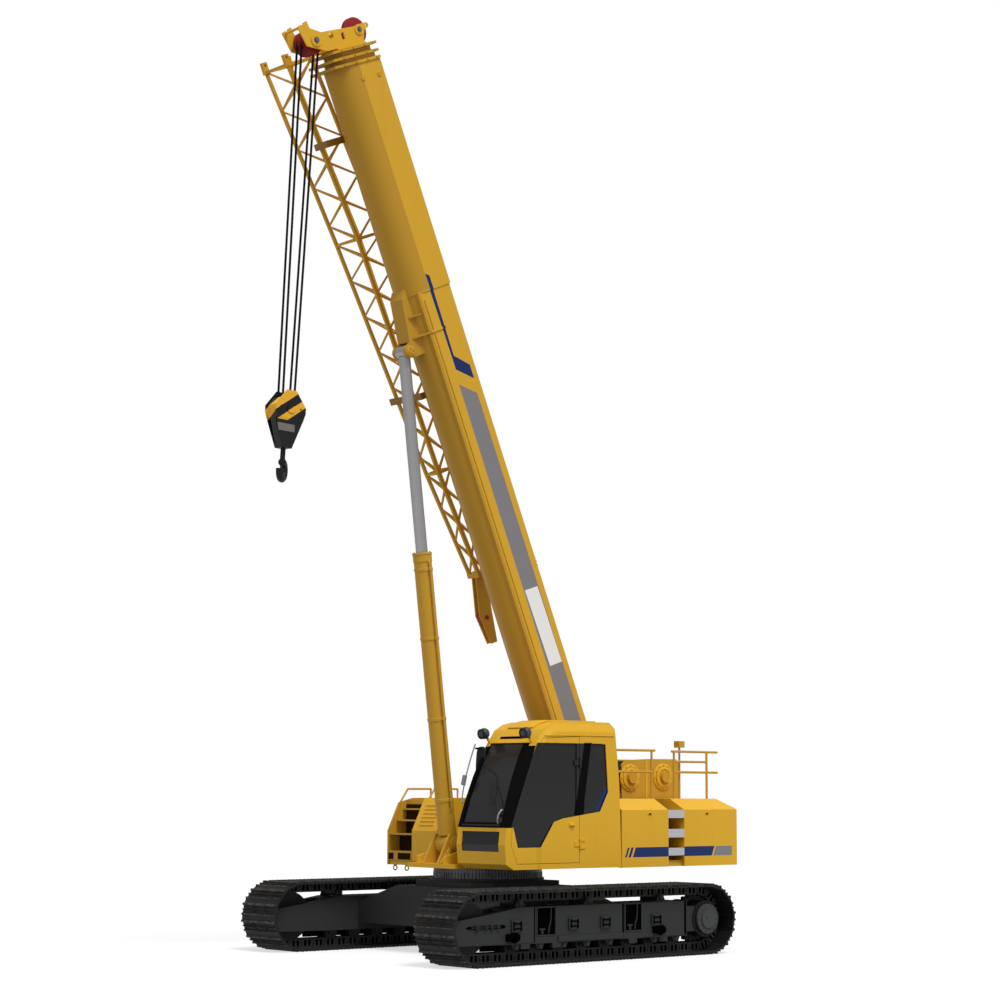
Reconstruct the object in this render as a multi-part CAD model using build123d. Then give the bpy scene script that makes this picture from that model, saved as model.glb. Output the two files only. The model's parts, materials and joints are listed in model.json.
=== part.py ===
from build123d import *
import math
import os

os.makedirs("parts", exist_ok=True)

# Crawler crane with a telescopic box boom and a stowed lattice jib, in millimetres.
# +X forward, +Y left (cab side), +Z up, origin on the slewing axis at ground level.

# ---- driving dimensions ------------------------------------------------------------------
# crawlers
AXLE_X = 1947.5          # sprocket and idler axes, behind and ahead of the slewing axis
AXLE_Z = 452.5           # also the radius out to the grouser tips
TRACK_Y = 1815.0         # middle of each crawler
SHOE_WIDTH = 750.0
SHOE_COUNT = 54
PLATE_R = 424.5          # outer face of the shoe plates, from the axle
LINK_R = 412.5           # outer face of the link chain
RAIL_R = 330.0           # inner face of the link chain, that the rollers meet
LINK_WIDTH = 200.0
ROLLER_GAP = 0.5
FRAME_IN_Y = 1600.0      # inner and outer side of the crawler frame beam
FRAME_OUT_Y = 2060.0
FRAME_LOW_Z = 248.0
FRAME_TOP_Z = 690.0
FRAME_REAR_X = -1620.0
FRAME_NOSE_X = 2302.0
CHANNEL_HALF = 125.0     # half width of the slot the rollers and the idler stand in
CHANNEL_TOP_Z = 330.0
BOTTOM_ROLLER_R = 95.0
BOTTOM_ROLLER_COUNT = 8
CARRIER_ROLLER_R = 44.0
# turntable
RING_R = 719.0
RING_LOW_Z = 965.0
RING_SPLIT_Z = 1040.0
RING_TEETH = 90
BEARING_GAP = 0.3
DECK_LOW_Z = 1104.0
DECK_TOP_Z = 1160.0
BODY_HALF_Y = 1458.0
HOUSING_IN_Y = 500.0
HOUSING_TOP_Z = 1990.0
CHAMFER_Z = 1847.0
CHAMFER_Y = 1190.0
TAIL_X = -3198.0
CAB_REAR_X = -1035.0
CAB_IN_Y = 515.0
SKIN = 30.0
# boom
BOOM_ANGLE = 66.75
PIVOT_X = -1571.0
PIVOT_Z = 2086.0
BOOM_HALF_Y = 240.0      # half width, and the radius of the rounded belly
BOOM_BACK = 366.0        # back face above the foot pivot, in the boom's own frame
BELLY_CENTRE = -97.5     # height of the belly's centre line
LEDGE_HALF_Y = 190.0     # half width of the belly under the ledge of the lower part
SHELL_START = 7120.0     # from here up the base section wears a thicker round shell
SHELL_STEP = -12.0
SECTION_STEP = 22.0      # each telescoping section is smaller by this much all round
WALL = 8.0
SLIDE_GAP = 3.0
PIN_GAP = 0.05
PIN_R = 60.0
FOOT_PLATE_GAP = 15.0
# luffing cylinder
FOOT_X = 679.0
FOOT_Z = 1406.5
EYE_S = 6434.0           # boom pin of the cylinder along the boom from the foot pivot
EYE_DROP = -550.0
BARREL_R = 117.5
BARREL_LEN = 3760.0
ROD_R = 77.5
LUFF_RETRACT = 2238.0    # how far the rod slides in from where it stands, to the boom level
BARREL_FLOOR = 260.0     # inner end of the barrel's bore, from the foot eye
CHEEK_IN = 126.0
CHEEK_OUT = 166.0
# head
SHEAVE_S = 10585.0
SHEAVE_DROP = -520.0
SHEAVE_R = 162.0
TOP_SHEAVE_S = 10582.0
TOP_SHEAVE_DROP = 221.0
TOP_SHEAVE_Y = 70.0
TOP_SHEAVE_R = 182.0
CHEEK_Y = 157.0
FALL_PITCH = 50.0        # across the boom, between the falls of the hoist rope

BOOM_COS = math.cos(math.radians(BOOM_ANGLE))
BOOM_SIN = math.sin(math.radians(BOOM_ANGLE))


# ---- helpers -----------------------------------------------------------------------------
def box(x0, x1, y0, y1, z0, z1):
    return Pos((x0 + x1) / 2, (y0 + y1) / 2, (z0 + z1) / 2) * Box(x1 - x0, y1 - y0, z1 - z0)


def prism_y(points, y0, y1):
    """A side profile of (x, z) points carried from y0 to y1."""
    wire = Polyline(*[(x, y0, z) for x, z in points], close=True)
    return extrude(make_face(wire), amount=y1 - y0, dir=(0, 1, 0))


def prism_x(points, x0, x1):
    """A cross-section of (y, z) points carried from x0 to x1."""
    wire = Polyline(*[(x0, y, z) for y, z in points], close=True)
    return extrude(make_face(wire), amount=x1 - x0, dir=(1, 0, 0))


def prism_z(points, z0, z1):
    """A plan of (x, y) points carried from z0 to z1."""
    wire = Polyline(*[(x, y, z0) for x, y in points], close=True)
    return extrude(make_face(wire), amount=z1 - z0, dir=(0, 0, 1))


def rod(start, end, radius):
    """A round bar between two points."""
    start, end = Vector(*start), Vector(*end)
    axis = end - start
    plane = Plane(origin=start, z_dir=axis)
    return extrude(plane * Circle(radius), amount=axis.length)


def disc_y(x, z, radius, y0, y1):
    return rod((x, y0, z), (x, y1, z), radius)


def square_bar(start, end, width):
    """A square bar between two points."""
    start, end = Vector(*start), Vector(*end)
    axis = end - start
    plane = Plane(origin=start, z_dir=axis)
    return extrude(plane * Rectangle(width, width), amount=axis.length)


def bent_rail(points, radius):
    """A round rail through the points, with a ball at each bend."""
    rail = rod(points[0], points[1], radius)
    for start, end in zip(points[1:], points[2:]):
        rail += rod(start, end, radius)
        rail += Pos(*start) * Sphere(radius)
    return rail


def mirrored(shape):
    return mirror(shape, about=Plane.XZ)


def on_boom(shape):
    """From the boom's own frame (x along it, z towards its back) to the crane's."""
    return Pos(PIVOT_X, 0, PIVOT_Z) * Rot(0, -BOOM_ANGLE, 0) * shape


def boom_point(along, across, height):
    return (PIVOT_X + along * BOOM_COS - height * BOOM_SIN, across,
            PIVOT_Z + along * BOOM_SIN + height * BOOM_COS)


def save(name, shape):
    shape.label = name
    export_step(shape, "parts/" + name + ".step")


# ---- crawlers ----------------------------------------------------------------------------
PIN_LINE_R = (LINK_R + RAIL_R) / 2
STRAIGHT = 2 * AXLE_X
LOOP = 2 * STRAIGHT + 2 * math.pi * PIN_LINE_R
PITCH = LOOP / SHOE_COUNT


def loop_place(run):
    """Where the pin line is after a run along it, and the outward normal there."""
    run = run % LOOP
    turn = math.pi * PIN_LINE_R
    if run < STRAIGHT:
        return AXLE_X - run, AXLE_Z - PIN_LINE_R, 0.0, -1.0
    run -= STRAIGHT
    if run < turn:
        angle = -math.pi / 2 - run / PIN_LINE_R
        x, z = math.cos(angle), math.sin(angle)
        return -AXLE_X + PIN_LINE_R * x, AXLE_Z + PIN_LINE_R * z, x, z
    run -= turn
    if run < STRAIGHT:
        return -AXLE_X + run, AXLE_Z + PIN_LINE_R, 0.0, 1.0
    run -= STRAIGHT
    angle = math.pi / 2 - run / PIN_LINE_R
    x, z = math.cos(angle), math.sin(angle)
    return AXLE_X + PIN_LINE_R * x, AXLE_Z + PIN_LINE_R * z, x, z


# (share of the pitch from the shoe's middle, height over the plate's outer face)
SHOE_OUTLINE = [(-0.48, 0.0), (-0.40, 28.0), (-0.30, 28.0), (-0.24, 0.0), (-0.05, 0.0), (0.0, 28.0),
                (0.05, 0.0), (0.24, 0.0), (0.32, 28.0), (0.44, 0.0)]


def track():
    outer, inner, seat = [], [], []
    for index in range(SHOE_COUNT):
        x, z, nx, nz = loop_place((index + 0.5) * PITCH)
        tx, tz = nz, -nx
        for share, height in SHOE_OUTLINE:
            along = share * PITCH
            reach = PLATE_R - PIN_LINE_R + height
            height_z = z + tz * along + nz * reach
            outer.append((x + tx * along + nx * reach, min(max(height_z, 0.0), 2 * AXLE_Z)))
    for index in range(SHOE_COUNT):
        for reach, line in ((LINK_R - PIN_LINE_R, seat), (RAIL_R - PIN_LINE_R, inner)):
            x, z, nx, nz = loop_place(index * PITCH)
            line.append((x + nx * reach, z + nz * reach))
    half = SHOE_WIDTH / 2
    band = prism_y(outer, TRACK_Y - half, TRACK_Y + half)
    band -= prism_y(seat, TRACK_Y - half, TRACK_Y - LINK_WIDTH / 2)
    band -= prism_y(seat, TRACK_Y + LINK_WIDTH / 2, TRACK_Y + half)
    band -= prism_y(inner, TRACK_Y - LINK_WIDTH / 2, TRACK_Y + LINK_WIDTH / 2)
    return band


def crawler_frame():
    beam = prism_y([(FRAME_REAR_X, FRAME_LOW_Z), (1400, FRAME_LOW_Z), (FRAME_NOSE_X, 262), (FRAME_NOSE_X, 547),
                    (1711, 620), (1250, FRAME_TOP_Z), (FRAME_REAR_X, FRAME_TOP_Z)], FRAME_IN_Y, FRAME_OUT_Y)
    low, high = TRACK_Y - CHANNEL_HALF, TRACK_Y + CHANNEL_HALF
    beam -= box(FRAME_REAR_X - 1, 1400, low, high, FRAME_LOW_Z - 1, CHANNEL_TOP_Z)
    beam -= box(1400, FRAME_NOSE_X + 1, low, high, FRAME_LOW_Z - 1, FRAME_TOP_Z + 1)
    # tall pockets in the outer face, either side of the middle bosses
    for x0, x1 in ((664, 957), (-802, -527)):
        beam -= box(x0, x1, FRAME_OUT_Y - 160, FRAME_OUT_Y + 1, 350, 674)
    # raised edge strip and bosses on the outer face
    beam += box(-480, 620, FRAME_OUT_Y, FRAME_OUT_Y + 14, 262, 330)
    beam += disc_y(330, 470, 62, FRAME_OUT_Y, FRAME_OUT_Y + 26)
    beam += disc_y(-200, 470, 62, FRAME_OUT_Y, FRAME_OUT_Y + 26)
    # rear fork that carries the final drive
    beam += box(-1760, FRAME_REAR_X, FRAME_OUT_Y - 60, FRAME_OUT_Y, 300, 620)
    beam += box(-1760, FRAME_REAR_X, FRAME_IN_Y, FRAME_IN_Y + 60, 300, 620)
    # lower brackets between the rollers
    for x in (1150, 640, -660, -1200):
        beam += box(x - 70, x + 70, FRAME_OUT_Y - 40, FRAME_OUT_Y, 190, FRAME_LOW_Z)
    return beam


ROLLER_SPAN = 2730.0
ROLLER_FIRST_X = 1280.0


def bottom_rollers():
    rollers = None
    z = AXLE_Z - RAIL_R + BOTTOM_ROLLER_R + ROLLER_GAP
    for index in range(BOTTOM_ROLLER_COUNT):
        x = ROLLER_FIRST_X - index * ROLLER_SPAN / (BOTTOM_ROLLER_COUNT - 1)
        half = CHANNEL_HALF - 14
        piece = disc_y(x, z, BOTTOM_ROLLER_R, TRACK_Y - half, TRACK_Y + half)
        piece += disc_y(x, z, 46, TRACK_Y - CHANNEL_HALF, TRACK_Y + CHANNEL_HALF)
        rollers = piece if rollers is None else rollers + piece
    return rollers


def carrier_rollers():
    z = AXLE_Z + RAIL_R - CARRIER_ROLLER_R - ROLLER_GAP
    rollers = None
    for x in (1180.0, 40.0, -1217.0):
        piece = disc_y(x, z, CARRIER_ROLLER_R, TRACK_Y - 110, TRACK_Y + 110)
        piece += disc_y(x, z, 24, TRACK_Y - 150, TRACK_Y + 150)
        for side in (-1, 1):
            y = TRACK_Y + side * 150
            piece += box(x - 40, x + 40, y - 14, y + 14, FRAME_TOP_Z, z + 30)
        rollers = piece if rollers is None else rollers + piece
    return rollers


def idler():
    half = LINK_WIDTH / 2 - 10
    chord_r = RAIL_R * math.cos(PITCH / PIN_LINE_R / 2)
    wheel = disc_y(AXLE_X, AXLE_Z, chord_r - 4, TRACK_Y - half, TRACK_Y + half)
    wheel += disc_y(AXLE_X, AXLE_Z, 70, TRACK_Y - CHANNEL_HALF, TRACK_Y + CHANNEL_HALF)
    return wheel


def sprocket():
    points = []
    teeth = 23
    for index in range(teeth):
        for share, radius in ((-0.30, 278), (-0.16, 308), (0.16, 308), (0.30, 278)):
            angle = (index + share) * 2 * math.pi / teeth
            points.append((-AXLE_X + radius * math.cos(angle), AXLE_Z + radius * math.sin(angle)))
    return prism_y(points, TRACK_Y - 42, TRACK_Y + 42)


DRIVE_R = 232.0


def final_drive():
    """Motor inside the sprocket, with the round reduction cover outside it."""
    x, z = -AXLE_X, AXLE_Z
    drive = disc_y(x, z, DRIVE_R, TRACK_Y + 42, FRAME_OUT_Y + 10)
    drive += disc_y(x, z, 190, FRAME_OUT_Y + 10, FRAME_OUT_Y + 60)
    drive += disc_y(x, z, 120, FRAME_OUT_Y + 60, FRAME_OUT_Y + 78)
    drive += disc_y(x, z, DRIVE_R, FRAME_IN_Y - 60, TRACK_Y - 42)
    return drive


def both_sides(shape):
    return Compound(children=[shape, mirrored(shape)])


drive = final_drive()
loop = track()
rollers = Compound(children=[bottom_rollers(), carrier_rollers()])
save("left_track", loop)
save("right_track", mirrored(loop))
save("crawler_frames", both_sides(crawler_frame() - disc_y(-AXLE_X, AXLE_Z, DRIVE_R, 1500, 2200)))
save("track_rollers", both_sides(rollers))
save("idlers", both_sides(idler()))
save("drive_sprockets", both_sides(sprocket()))
save("final_drives", both_sides(drive))


def carbody():
    """Centre box under the turntable, with a beam to the crawler frames at each end."""
    centre = prism_z([(760, -560), (760, 560), (560, 760), (-560, 760), (-760, 560), (-760, -560),
                      (-560, -760), (560, -760)], 420, RING_LOW_Z - 40)
    centre += Pos(0, 0, RING_LOW_Z - 20) * Cylinder(RING_R + 21, 40)
    for x in (-720, 720):
        centre += prism_x([(-FRAME_IN_Y, 340), (-FRAME_IN_Y, 620), (-760, 860), (760, 860),
                           (FRAME_IN_Y, 620), (FRAME_IN_Y, 340)], x - 190, x + 190)
    return centre


save("carbody", carbody())


def toothed_ring():
    points = []
    for index in range(RING_TEETH):
        for share, radius in ((-0.32, RING_R - 12), (-0.16, RING_R), (0.16, RING_R), (0.32, RING_R - 12)):
            angle = (index + share) * 2 * math.pi / RING_TEETH
            points.append((radius * math.cos(angle), radius * math.sin(angle)))
    ring = prism_z(points, RING_LOW_Z, RING_SPLIT_Z)
    return ring - Pos(0, 0, RING_LOW_Z) * Cylinder(520, 400)


save("slewing_gear_ring", toothed_ring())
upper_ring = Pos(0, 0, (RING_SPLIT_Z + BEARING_GAP + DECK_LOW_Z) / 2) * Cylinder(
    RING_R - 6, DECK_LOW_Z - RING_SPLIT_Z - BEARING_GAP)
upper_ring -= Pos(0, 0, DECK_LOW_Z) * Cylinder(520, 400)
save("slewing_inner_ring", upper_ring)


# ---- turntable ---------------------------------------------------------------------------
LADDER_IN_Y = -872.0      # between the louvred housing and the ladder bay
LADDER_OUT_Y = -1390.0
RIGHT_FRONT_X = 585.0
FRONT_BOX_X = 990.0
PLATE_IN = BOOM_HALF_Y + FOOT_PLATE_GAP
PLATE_OUT = PLATE_IN + 40


def deck():
    plate = prism_z([(TAIL_X + 60, -BODY_HALF_Y + 60), (-1112, -BODY_HALF_Y + 60), (-1112, LADDER_OUT_Y + 20),
                     (RIGHT_FRONT_X - 20, LADDER_OUT_Y + 20), (RIGHT_FRONT_X - 20, -460), (FRONT_BOX_X, -460),
                     (FRONT_BOX_X, 480), (CAB_REAR_X - 60, 480), (CAB_REAR_X - 60, BODY_HALF_Y - 60),
                     (TAIL_X + 60, BODY_HALF_Y - 60)], DECK_LOW_Z, DECK_TOP_Z)
    # the two long plates that carry the boom foot and run to the front
    side = prism_y([(-2000, DECK_TOP_Z), (FRONT_BOX_X - 20, DECK_TOP_Z), (FRONT_BOX_X - 20, 1250), (420, 1400),
                    (-700, 1480), (PIVOT_X + 190, PIVOT_Z + 20), (PIVOT_X + 120, PIVOT_Z + 150),
                    (PIVOT_X - 120, PIVOT_Z + 150), (PIVOT_X - 250, PIVOT_Z - 60), (-2000, 1500)],
                   PLATE_IN, PLATE_OUT)
    side += disc_y(PIVOT_X, PIVOT_Z, 130, PLATE_OUT, PLATE_OUT + 30)
    side -= disc_y(PIVOT_X, PIVOT_Z, PIN_R, 0, 500)
    for shape in (side, mirrored(side)):
        plate += shape
    # pads that the cab is bolted to
    for x in (-850, 420):
        plate += box(x, x + 100, 480, CAB_IN_Y, DECK_LOW_Z + 10, 1330) + box(x, x + 100, PLATE_OUT, 480, DECK_TOP_Z, 1330)
    # cross plate behind the boom foot
    plate += box(-1990, -1960, -PLATE_IN, PLATE_IN, DECK_TOP_Z, 1480)
    return plate


save("deck_frame", deck())
foot_pin = disc_y(PIVOT_X, PIVOT_Z, PIN_R, -PLATE_OUT - 30, PLATE_OUT + 30)
for side in (-1, 1):
    foot_pin += disc_y(PIVOT_X, PIVOT_Z, 90, *sorted((side * (PLATE_OUT + 30), side * (PLATE_OUT + 48))))
save("boom_foot_pin", foot_pin)


def cylinder_bracket():
    cheek = prism_y([(FOOT_X - 300, DECK_TOP_Z), (FOOT_X + 300, DECK_TOP_Z), (FOOT_X + 150, FOOT_Z + 40),
                     (FOOT_X + 100, FOOT_Z + 130), (FOOT_X - 100, FOOT_Z + 130), (FOOT_X - 150, FOOT_Z + 40)],
                    CHEEK_IN, CHEEK_OUT)
    cheek += disc_y(FOOT_X, FOOT_Z, 95, CHEEK_OUT, CHEEK_OUT + 26)
    cheek += disc_y(FOOT_X, FOOT_Z, 60, CHEEK_OUT + 26, CHEEK_OUT + 42)
    for x in (FOOT_X - 180, FOOT_X - 20, FOOT_X + 150):
        cheek += prism_x([(CHEEK_OUT, DECK_TOP_Z), (PLATE_IN, DECK_TOP_Z), (PLATE_IN, 1240), (CHEEK_OUT, 1330)],
                         x, x + 24)
    return cheek


bracket = cylinder_bracket()
bracket = Compound(children=[bracket, mirrored(bracket)])
save("cylinder_foot_bracket", bracket)


def housing(x0, x1, cut_rear=0.0):
    """Side cabinet with the sloped shoulder along its outer top edge."""
    body = prism_x([(HOUSING_IN_Y, DECK_TOP_Z), (BODY_HALF_Y - 60, DECK_TOP_Z), (BODY_HALF_Y - 60, DECK_LOW_Z),
                    (BODY_HALF_Y, DECK_LOW_Z), (BODY_HALF_Y, CHAMFER_Z), (CHAMFER_Y, HOUSING_TOP_Z),
                    (HOUSING_IN_Y, HOUSING_TOP_Z)], x0, x1)
    hollow = prism_x([(HOUSING_IN_Y + SKIN, DECK_TOP_Z + SKIN), (BODY_HALF_Y - 60 - SKIN, DECK_TOP_Z + SKIN),
                      (BODY_HALF_Y - SKIN, DECK_TOP_Z + SKIN), (BODY_HALF_Y - SKIN, CHAMFER_Z - SKIN / 2),
                      (CHAMFER_Y - SKIN / 2, HOUSING_TOP_Z - SKIN), (HOUSING_IN_Y + SKIN, HOUSING_TOP_Z - SKIN)],
                     x0 + SKIN, x1 - SKIN)
    if cut_rear:
        body -= prism_y([(x0 - 1, HOUSING_TOP_Z - cut_rear), (x0 + cut_rear, HOUSING_TOP_Z + 1),
                         (x0 - 1, HOUSING_TOP_Z + 1)], 0, 2000)
        hollow -= prism_y([(x0 - 1, HOUSING_TOP_Z - cut_rear - SKIN), (x0 + cut_rear + SKIN, HOUSING_TOP_Z + 1),
                           (x0 - 1, HOUSING_TOP_Z + 1)], 0, 2000)
    return body - hollow


STEP_X0, STEP_X1 = -2190.0, -1895.0
left_front = housing(STEP_X1, CAB_REAR_X - 8)
left_rear = housing(TAIL_X, STEP_X0, cut_rear=130)
right_rear = mirrored(housing(TAIL_X, -1120, cut_rear=130))
save("left_cabinets", Compound(children=[left_front, left_rear]))


def side_steps():
    """Three treads in the recess between the left cabinets, with its back wall."""
    back = box(STEP_X0, STEP_X1, 1150, 1180, DECK_TOP_Z, 1840)
    back += box(STEP_X0, STEP_X1, 1180, BODY_HALF_Y - 60, DECK_TOP_Z, DECK_TOP_Z + 24)
    for low, high in ((1738, 1843), (1483, 1594), (1247, 1345)):
        back += box(STEP_X0, STEP_X1, 1180, BODY_HALF_Y, high - 24, high)
        back += box(STEP_X0, STEP_X1, BODY_HALF_Y - 20, BODY_HALF_Y, low, high - 24)
    return back


save("side_steps", side_steps())


def engine_hood():
    hood = right_rear
    # louvre slots through the side wall and the top
    for index in range(9):
        x = -2900 + index * 90
        hood -= box(x, x + 40, -BODY_HALF_Y - 1, -BODY_HALF_Y + SKIN + 1, 1420, 1760)
    for index in range(6):
        x = -2500 + index * 90
        hood -= box(x, x + 40, -1100, -700, HOUSING_TOP_Z - SKIN - 1, HOUSING_TOP_Z + 1)
    return hood


save("engine_hood", engine_hood())
save("engine_block", box(-2900, -1750, -1150, -620, DECK_TOP_Z + SKIN, 1780))
counterweight = prism_y([(TAIL_X, DECK_TOP_Z), (-2700, DECK_TOP_Z), (-2700, 1880), (TAIL_X + 90, 1880),
                         (TAIL_X, 1790)], -HOUSING_IN_Y, HOUSING_IN_Y)
save("counterweight", counterweight)

# ---- winches -----------------------------------------------------------------------------
WINCH_Y = 440.0
DRUM = [("main_winch_drum", -2167.0, 2269.0), ("auxiliary_winch_drum", -2799.0, 2283.0)]


def winch_frame():
    side = prism_y([(-3126, 1880), (-2019, 1880), (-2019, 2440), (-2090, 2510), (-2552, 2529), (-3060, 2529),
                    (-3126, 2470)], WINCH_Y - 24, WINCH_Y)
    side -= box(-2610, -2570, 0, 600, 2010, 2440)
    for _, x, z in DRUM:
        side += disc_y(x, z, 150, WINCH_Y, WINCH_Y + 30)
        side += disc_y(x, z, 75, WINCH_Y + 30, WINCH_Y + 70)
        side -= disc_y(x, z, 45, 0, WINCH_Y + 40)
    frame = side + mirrored(side)
    frame += box(-3126, -3090, -WINCH_Y + 24, WINCH_Y - 24, 2380, 2500)
    frame += box(-2640, -2540, -WINCH_Y + 24, WINCH_Y - 24, 1880, 1930)
    frame += box(-3126, -2019, -WINCH_Y, WINCH_Y, 1880, 1904)
    # legs down to the deck ahead of the counterweight
    for side_sign in (-1, 1):
        y0, y1 = sorted((side_sign * (WINCH_Y - 40), side_sign * WINCH_Y))
        frame += box(-2690, -2019, y0, y1, DECK_TOP_Z, 1880)
    return frame


save("winch_frame", winch_frame())
for name, x, z in DRUM:
    half = WINCH_Y - 24 - 8
    drum = disc_y(x, z, 130, -half, half)
    drum += disc_y(x, z, 225, -half, -half + 20)
    drum += disc_y(x, z, 225, half - 20, half)
    drum += disc_y(x, z, 45 - PIN_GAP, -WINCH_Y - 30, WINCH_Y + 30)
    save(name, drum)

# ---- handrails, ladder bay, louvred housing -------------------------------------------------
RAIL_R_SMALL = 16.0


def deck_rails():
    """Posts and rails on the left cabinets, with a pole for the work light."""
    y = CHAMFER_Y - 30
    posts = [(-1100, 2630), (-1880, 2630), (-2300, 2625), (-2925, 2618)]
    rails = rod((-1060, y, 2630), (-1940, y, 2630), RAIL_R_SMALL)
    rails += rod((-1060, y, 2346), (-1900, y, 2346), RAIL_R_SMALL)
    rails += rod((-2258, y, 2622), (-3130, y, 2618), RAIL_R_SMALL)
    rails += rod((-2300, y, 2485), (-2925, y, 2485), RAIL_R_SMALL)
    rails += rod((-2300, y, 2346), (-3130, y, 2343), RAIL_R_SMALL)
    for x, top in posts:
        rails += rod((x, y, HOUSING_TOP_Z), (x, y, top), RAIL_R_SMALL)
    return rails


left_rails = deck_rails()
pole = rod((-2453, 1110, HOUSING_TOP_Z), (-2453, 1110, 2680), 14)
pole += box(-2505, -2400, 1060, 1160, 2675, 2763)


def ladder_bay():
    """Right front corner: side wall, treads and the platform behind them."""
    front = RIGHT_FRONT_X
    wall = prism_y([(front, DECK_LOW_Z), (front, 1560), (front - 180, 1930), (front - 420, HOUSING_TOP_Z),
                    (-1110, HOUSING_TOP_Z), (-1110, DECK_LOW_Z)], LADDER_OUT_Y - 10, LADDER_OUT_Y + 20)
    wall += box(front - 60, front, LADDER_OUT_Y + 20, LADDER_IN_Y - 6, DECK_TOP_Z, 1290)
    wall += box(front - 330, front - 300, LADDER_OUT_Y + 20, LADDER_IN_Y - 6, DECK_TOP_Z, HOUSING_TOP_Z - 60)
    for x, z in ((front - 20, 1520), (front - 130, 1700), (front - 240, 1850)):
        wall += box(x - 180, x, LADDER_OUT_Y + 20, LADDER_IN_Y - 6, z - 20, z)
    wall += box(-1110, front - 300, LADDER_OUT_Y + 20, LADDER_IN_Y - 6, HOUSING_TOP_Z - 60, HOUSING_TOP_Z - 30)
    return wall


bay = ladder_bay()


def louvred_housing():
    front = RIGHT_FRONT_X
    outline = [(front, DECK_TOP_Z), (front, 1560), (front - 210, HOUSING_TOP_Z), (-1110, HOUSING_TOP_Z),
               (-1110, DECK_TOP_Z)]
    inside = [(front - SKIN, DECK_TOP_Z + SKIN), (front - SKIN, 1550), (front - 225, HOUSING_TOP_Z - SKIN),
              (-1110 + SKIN, HOUSING_TOP_Z - SKIN), (-1110 + SKIN, DECK_TOP_Z + SKIN)]
    shell = prism_y(outline, LADDER_IN_Y, -PLATE_OUT - 60)
    shell -= prism_y(inside, LADDER_IN_Y + SKIN, -PLATE_OUT - 60 - SKIN)
    # louvres on the sloped front
    slope = math.atan2(HOUSING_TOP_Z - 1560, -210)
    for index in range(6):
        share = 0.18 + 0.12 * index
        x, z = front - 210 * share, 1560 + (HOUSING_TOP_Z - 1560) * share
        vane = Pos(x, (LADDER_IN_Y - PLATE_OUT - 60) / 2, z) * Rot(0, -math.degrees(slope) + 90, 0) * Box(24, 300, 14)
        shell += vane
    return shell


louvred = louvred_housing()
save("louvred_housing", louvred)


front_hoops = []
for y, start in ((LADDER_OUT_Y + 5, (RIGHT_FRONT_X - 180, 1930)), (LADDER_IN_Y + 60, (RIGHT_FRONT_X - 180, 1930))):
    front_hoops.append(bent_rail([(start[0] - 20, y, start[1] - 5), (250, y, 2110), (-150, y, 2110),
                                  (-150, y, HOUSING_TOP_Z - 5)], 13))
front_hoops = [hoop - bay - louvred for hoop in front_hoops]
save("handrails", Compound(children=[left_rails] + front_hoops))


def tie_rings():
    rings = None
    for y in (-1300.0, -1050.0):
        ring = Pos(RIGHT_FRONT_X - 60, y, DECK_LOW_Z - 42) * Rot(90, 0, 0) * Torus(30, 8)
        lug = box(RIGHT_FRONT_X - 80, RIGHT_FRONT_X - 40, y - 10, y + 10, DECK_LOW_Z - 20, DECK_LOW_Z)
        piece = ring + lug
        rings = piece if rings is None else rings + piece
    return rings


save("ladder_bay", Compound(children=[bay, tie_rings()]))

# ---- cab ---------------------------------------------------------------------------------
CAB_WALL = 45.0
GLASS = 12.0
CAB_LOW_Z = 1112.0
CAB_OUTLINE = [(CAB_REAR_X, CAB_LOW_Z), (820, CAB_LOW_Z), (940, 1180), (965, 1420), (935, 1660), (830, 1960),
               (700, 2260), (560, 2530), (440, 2720), (330, 2870), (200, 2940), (60, 2974), (-820, 2974),
               (-925, 2890), (-1000, 2200)]
DOOR_REAR_X = -300.0
DOOR_EDGE = [(DOOR_REAR_X, 1180), (760, 1180), (862, 1420), (845, 1700), (740, 2010), (610, 2290), (475, 2550),
             (330, 2760), (DOOR_REAR_X, 2790)]


def inset(points, amount):
    """The closed outline moved inwards by an amount, corner by corner."""
    result = []
    count = len(points)
    area = sum(points[i][0] * points[(i + 1) % count][1] - points[(i + 1) % count][0] * points[i][1]
               for i in range(count))
    sign = 1.0 if area > 0 else -1.0
    for i in range(count):
        before, here, after = points[i - 1], points[i], points[(i + 1) % count]
        ax, ay = here[0] - before[0], here[1] - before[1]
        bx, by = after[0] - here[0], after[1] - here[1]
        la, lb = math.hypot(ax, ay), math.hypot(bx, by)
        nax, nay = -ay / la * sign, ax / la * sign
        nbx, nby = -by / lb * sign, bx / lb * sign
        scale = amount / (1 + nax * nbx + nay * nby)
        result.append((here[0] + (nax + nbx) * scale, here[1] + (nay + nby) * scale))
    return result


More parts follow.
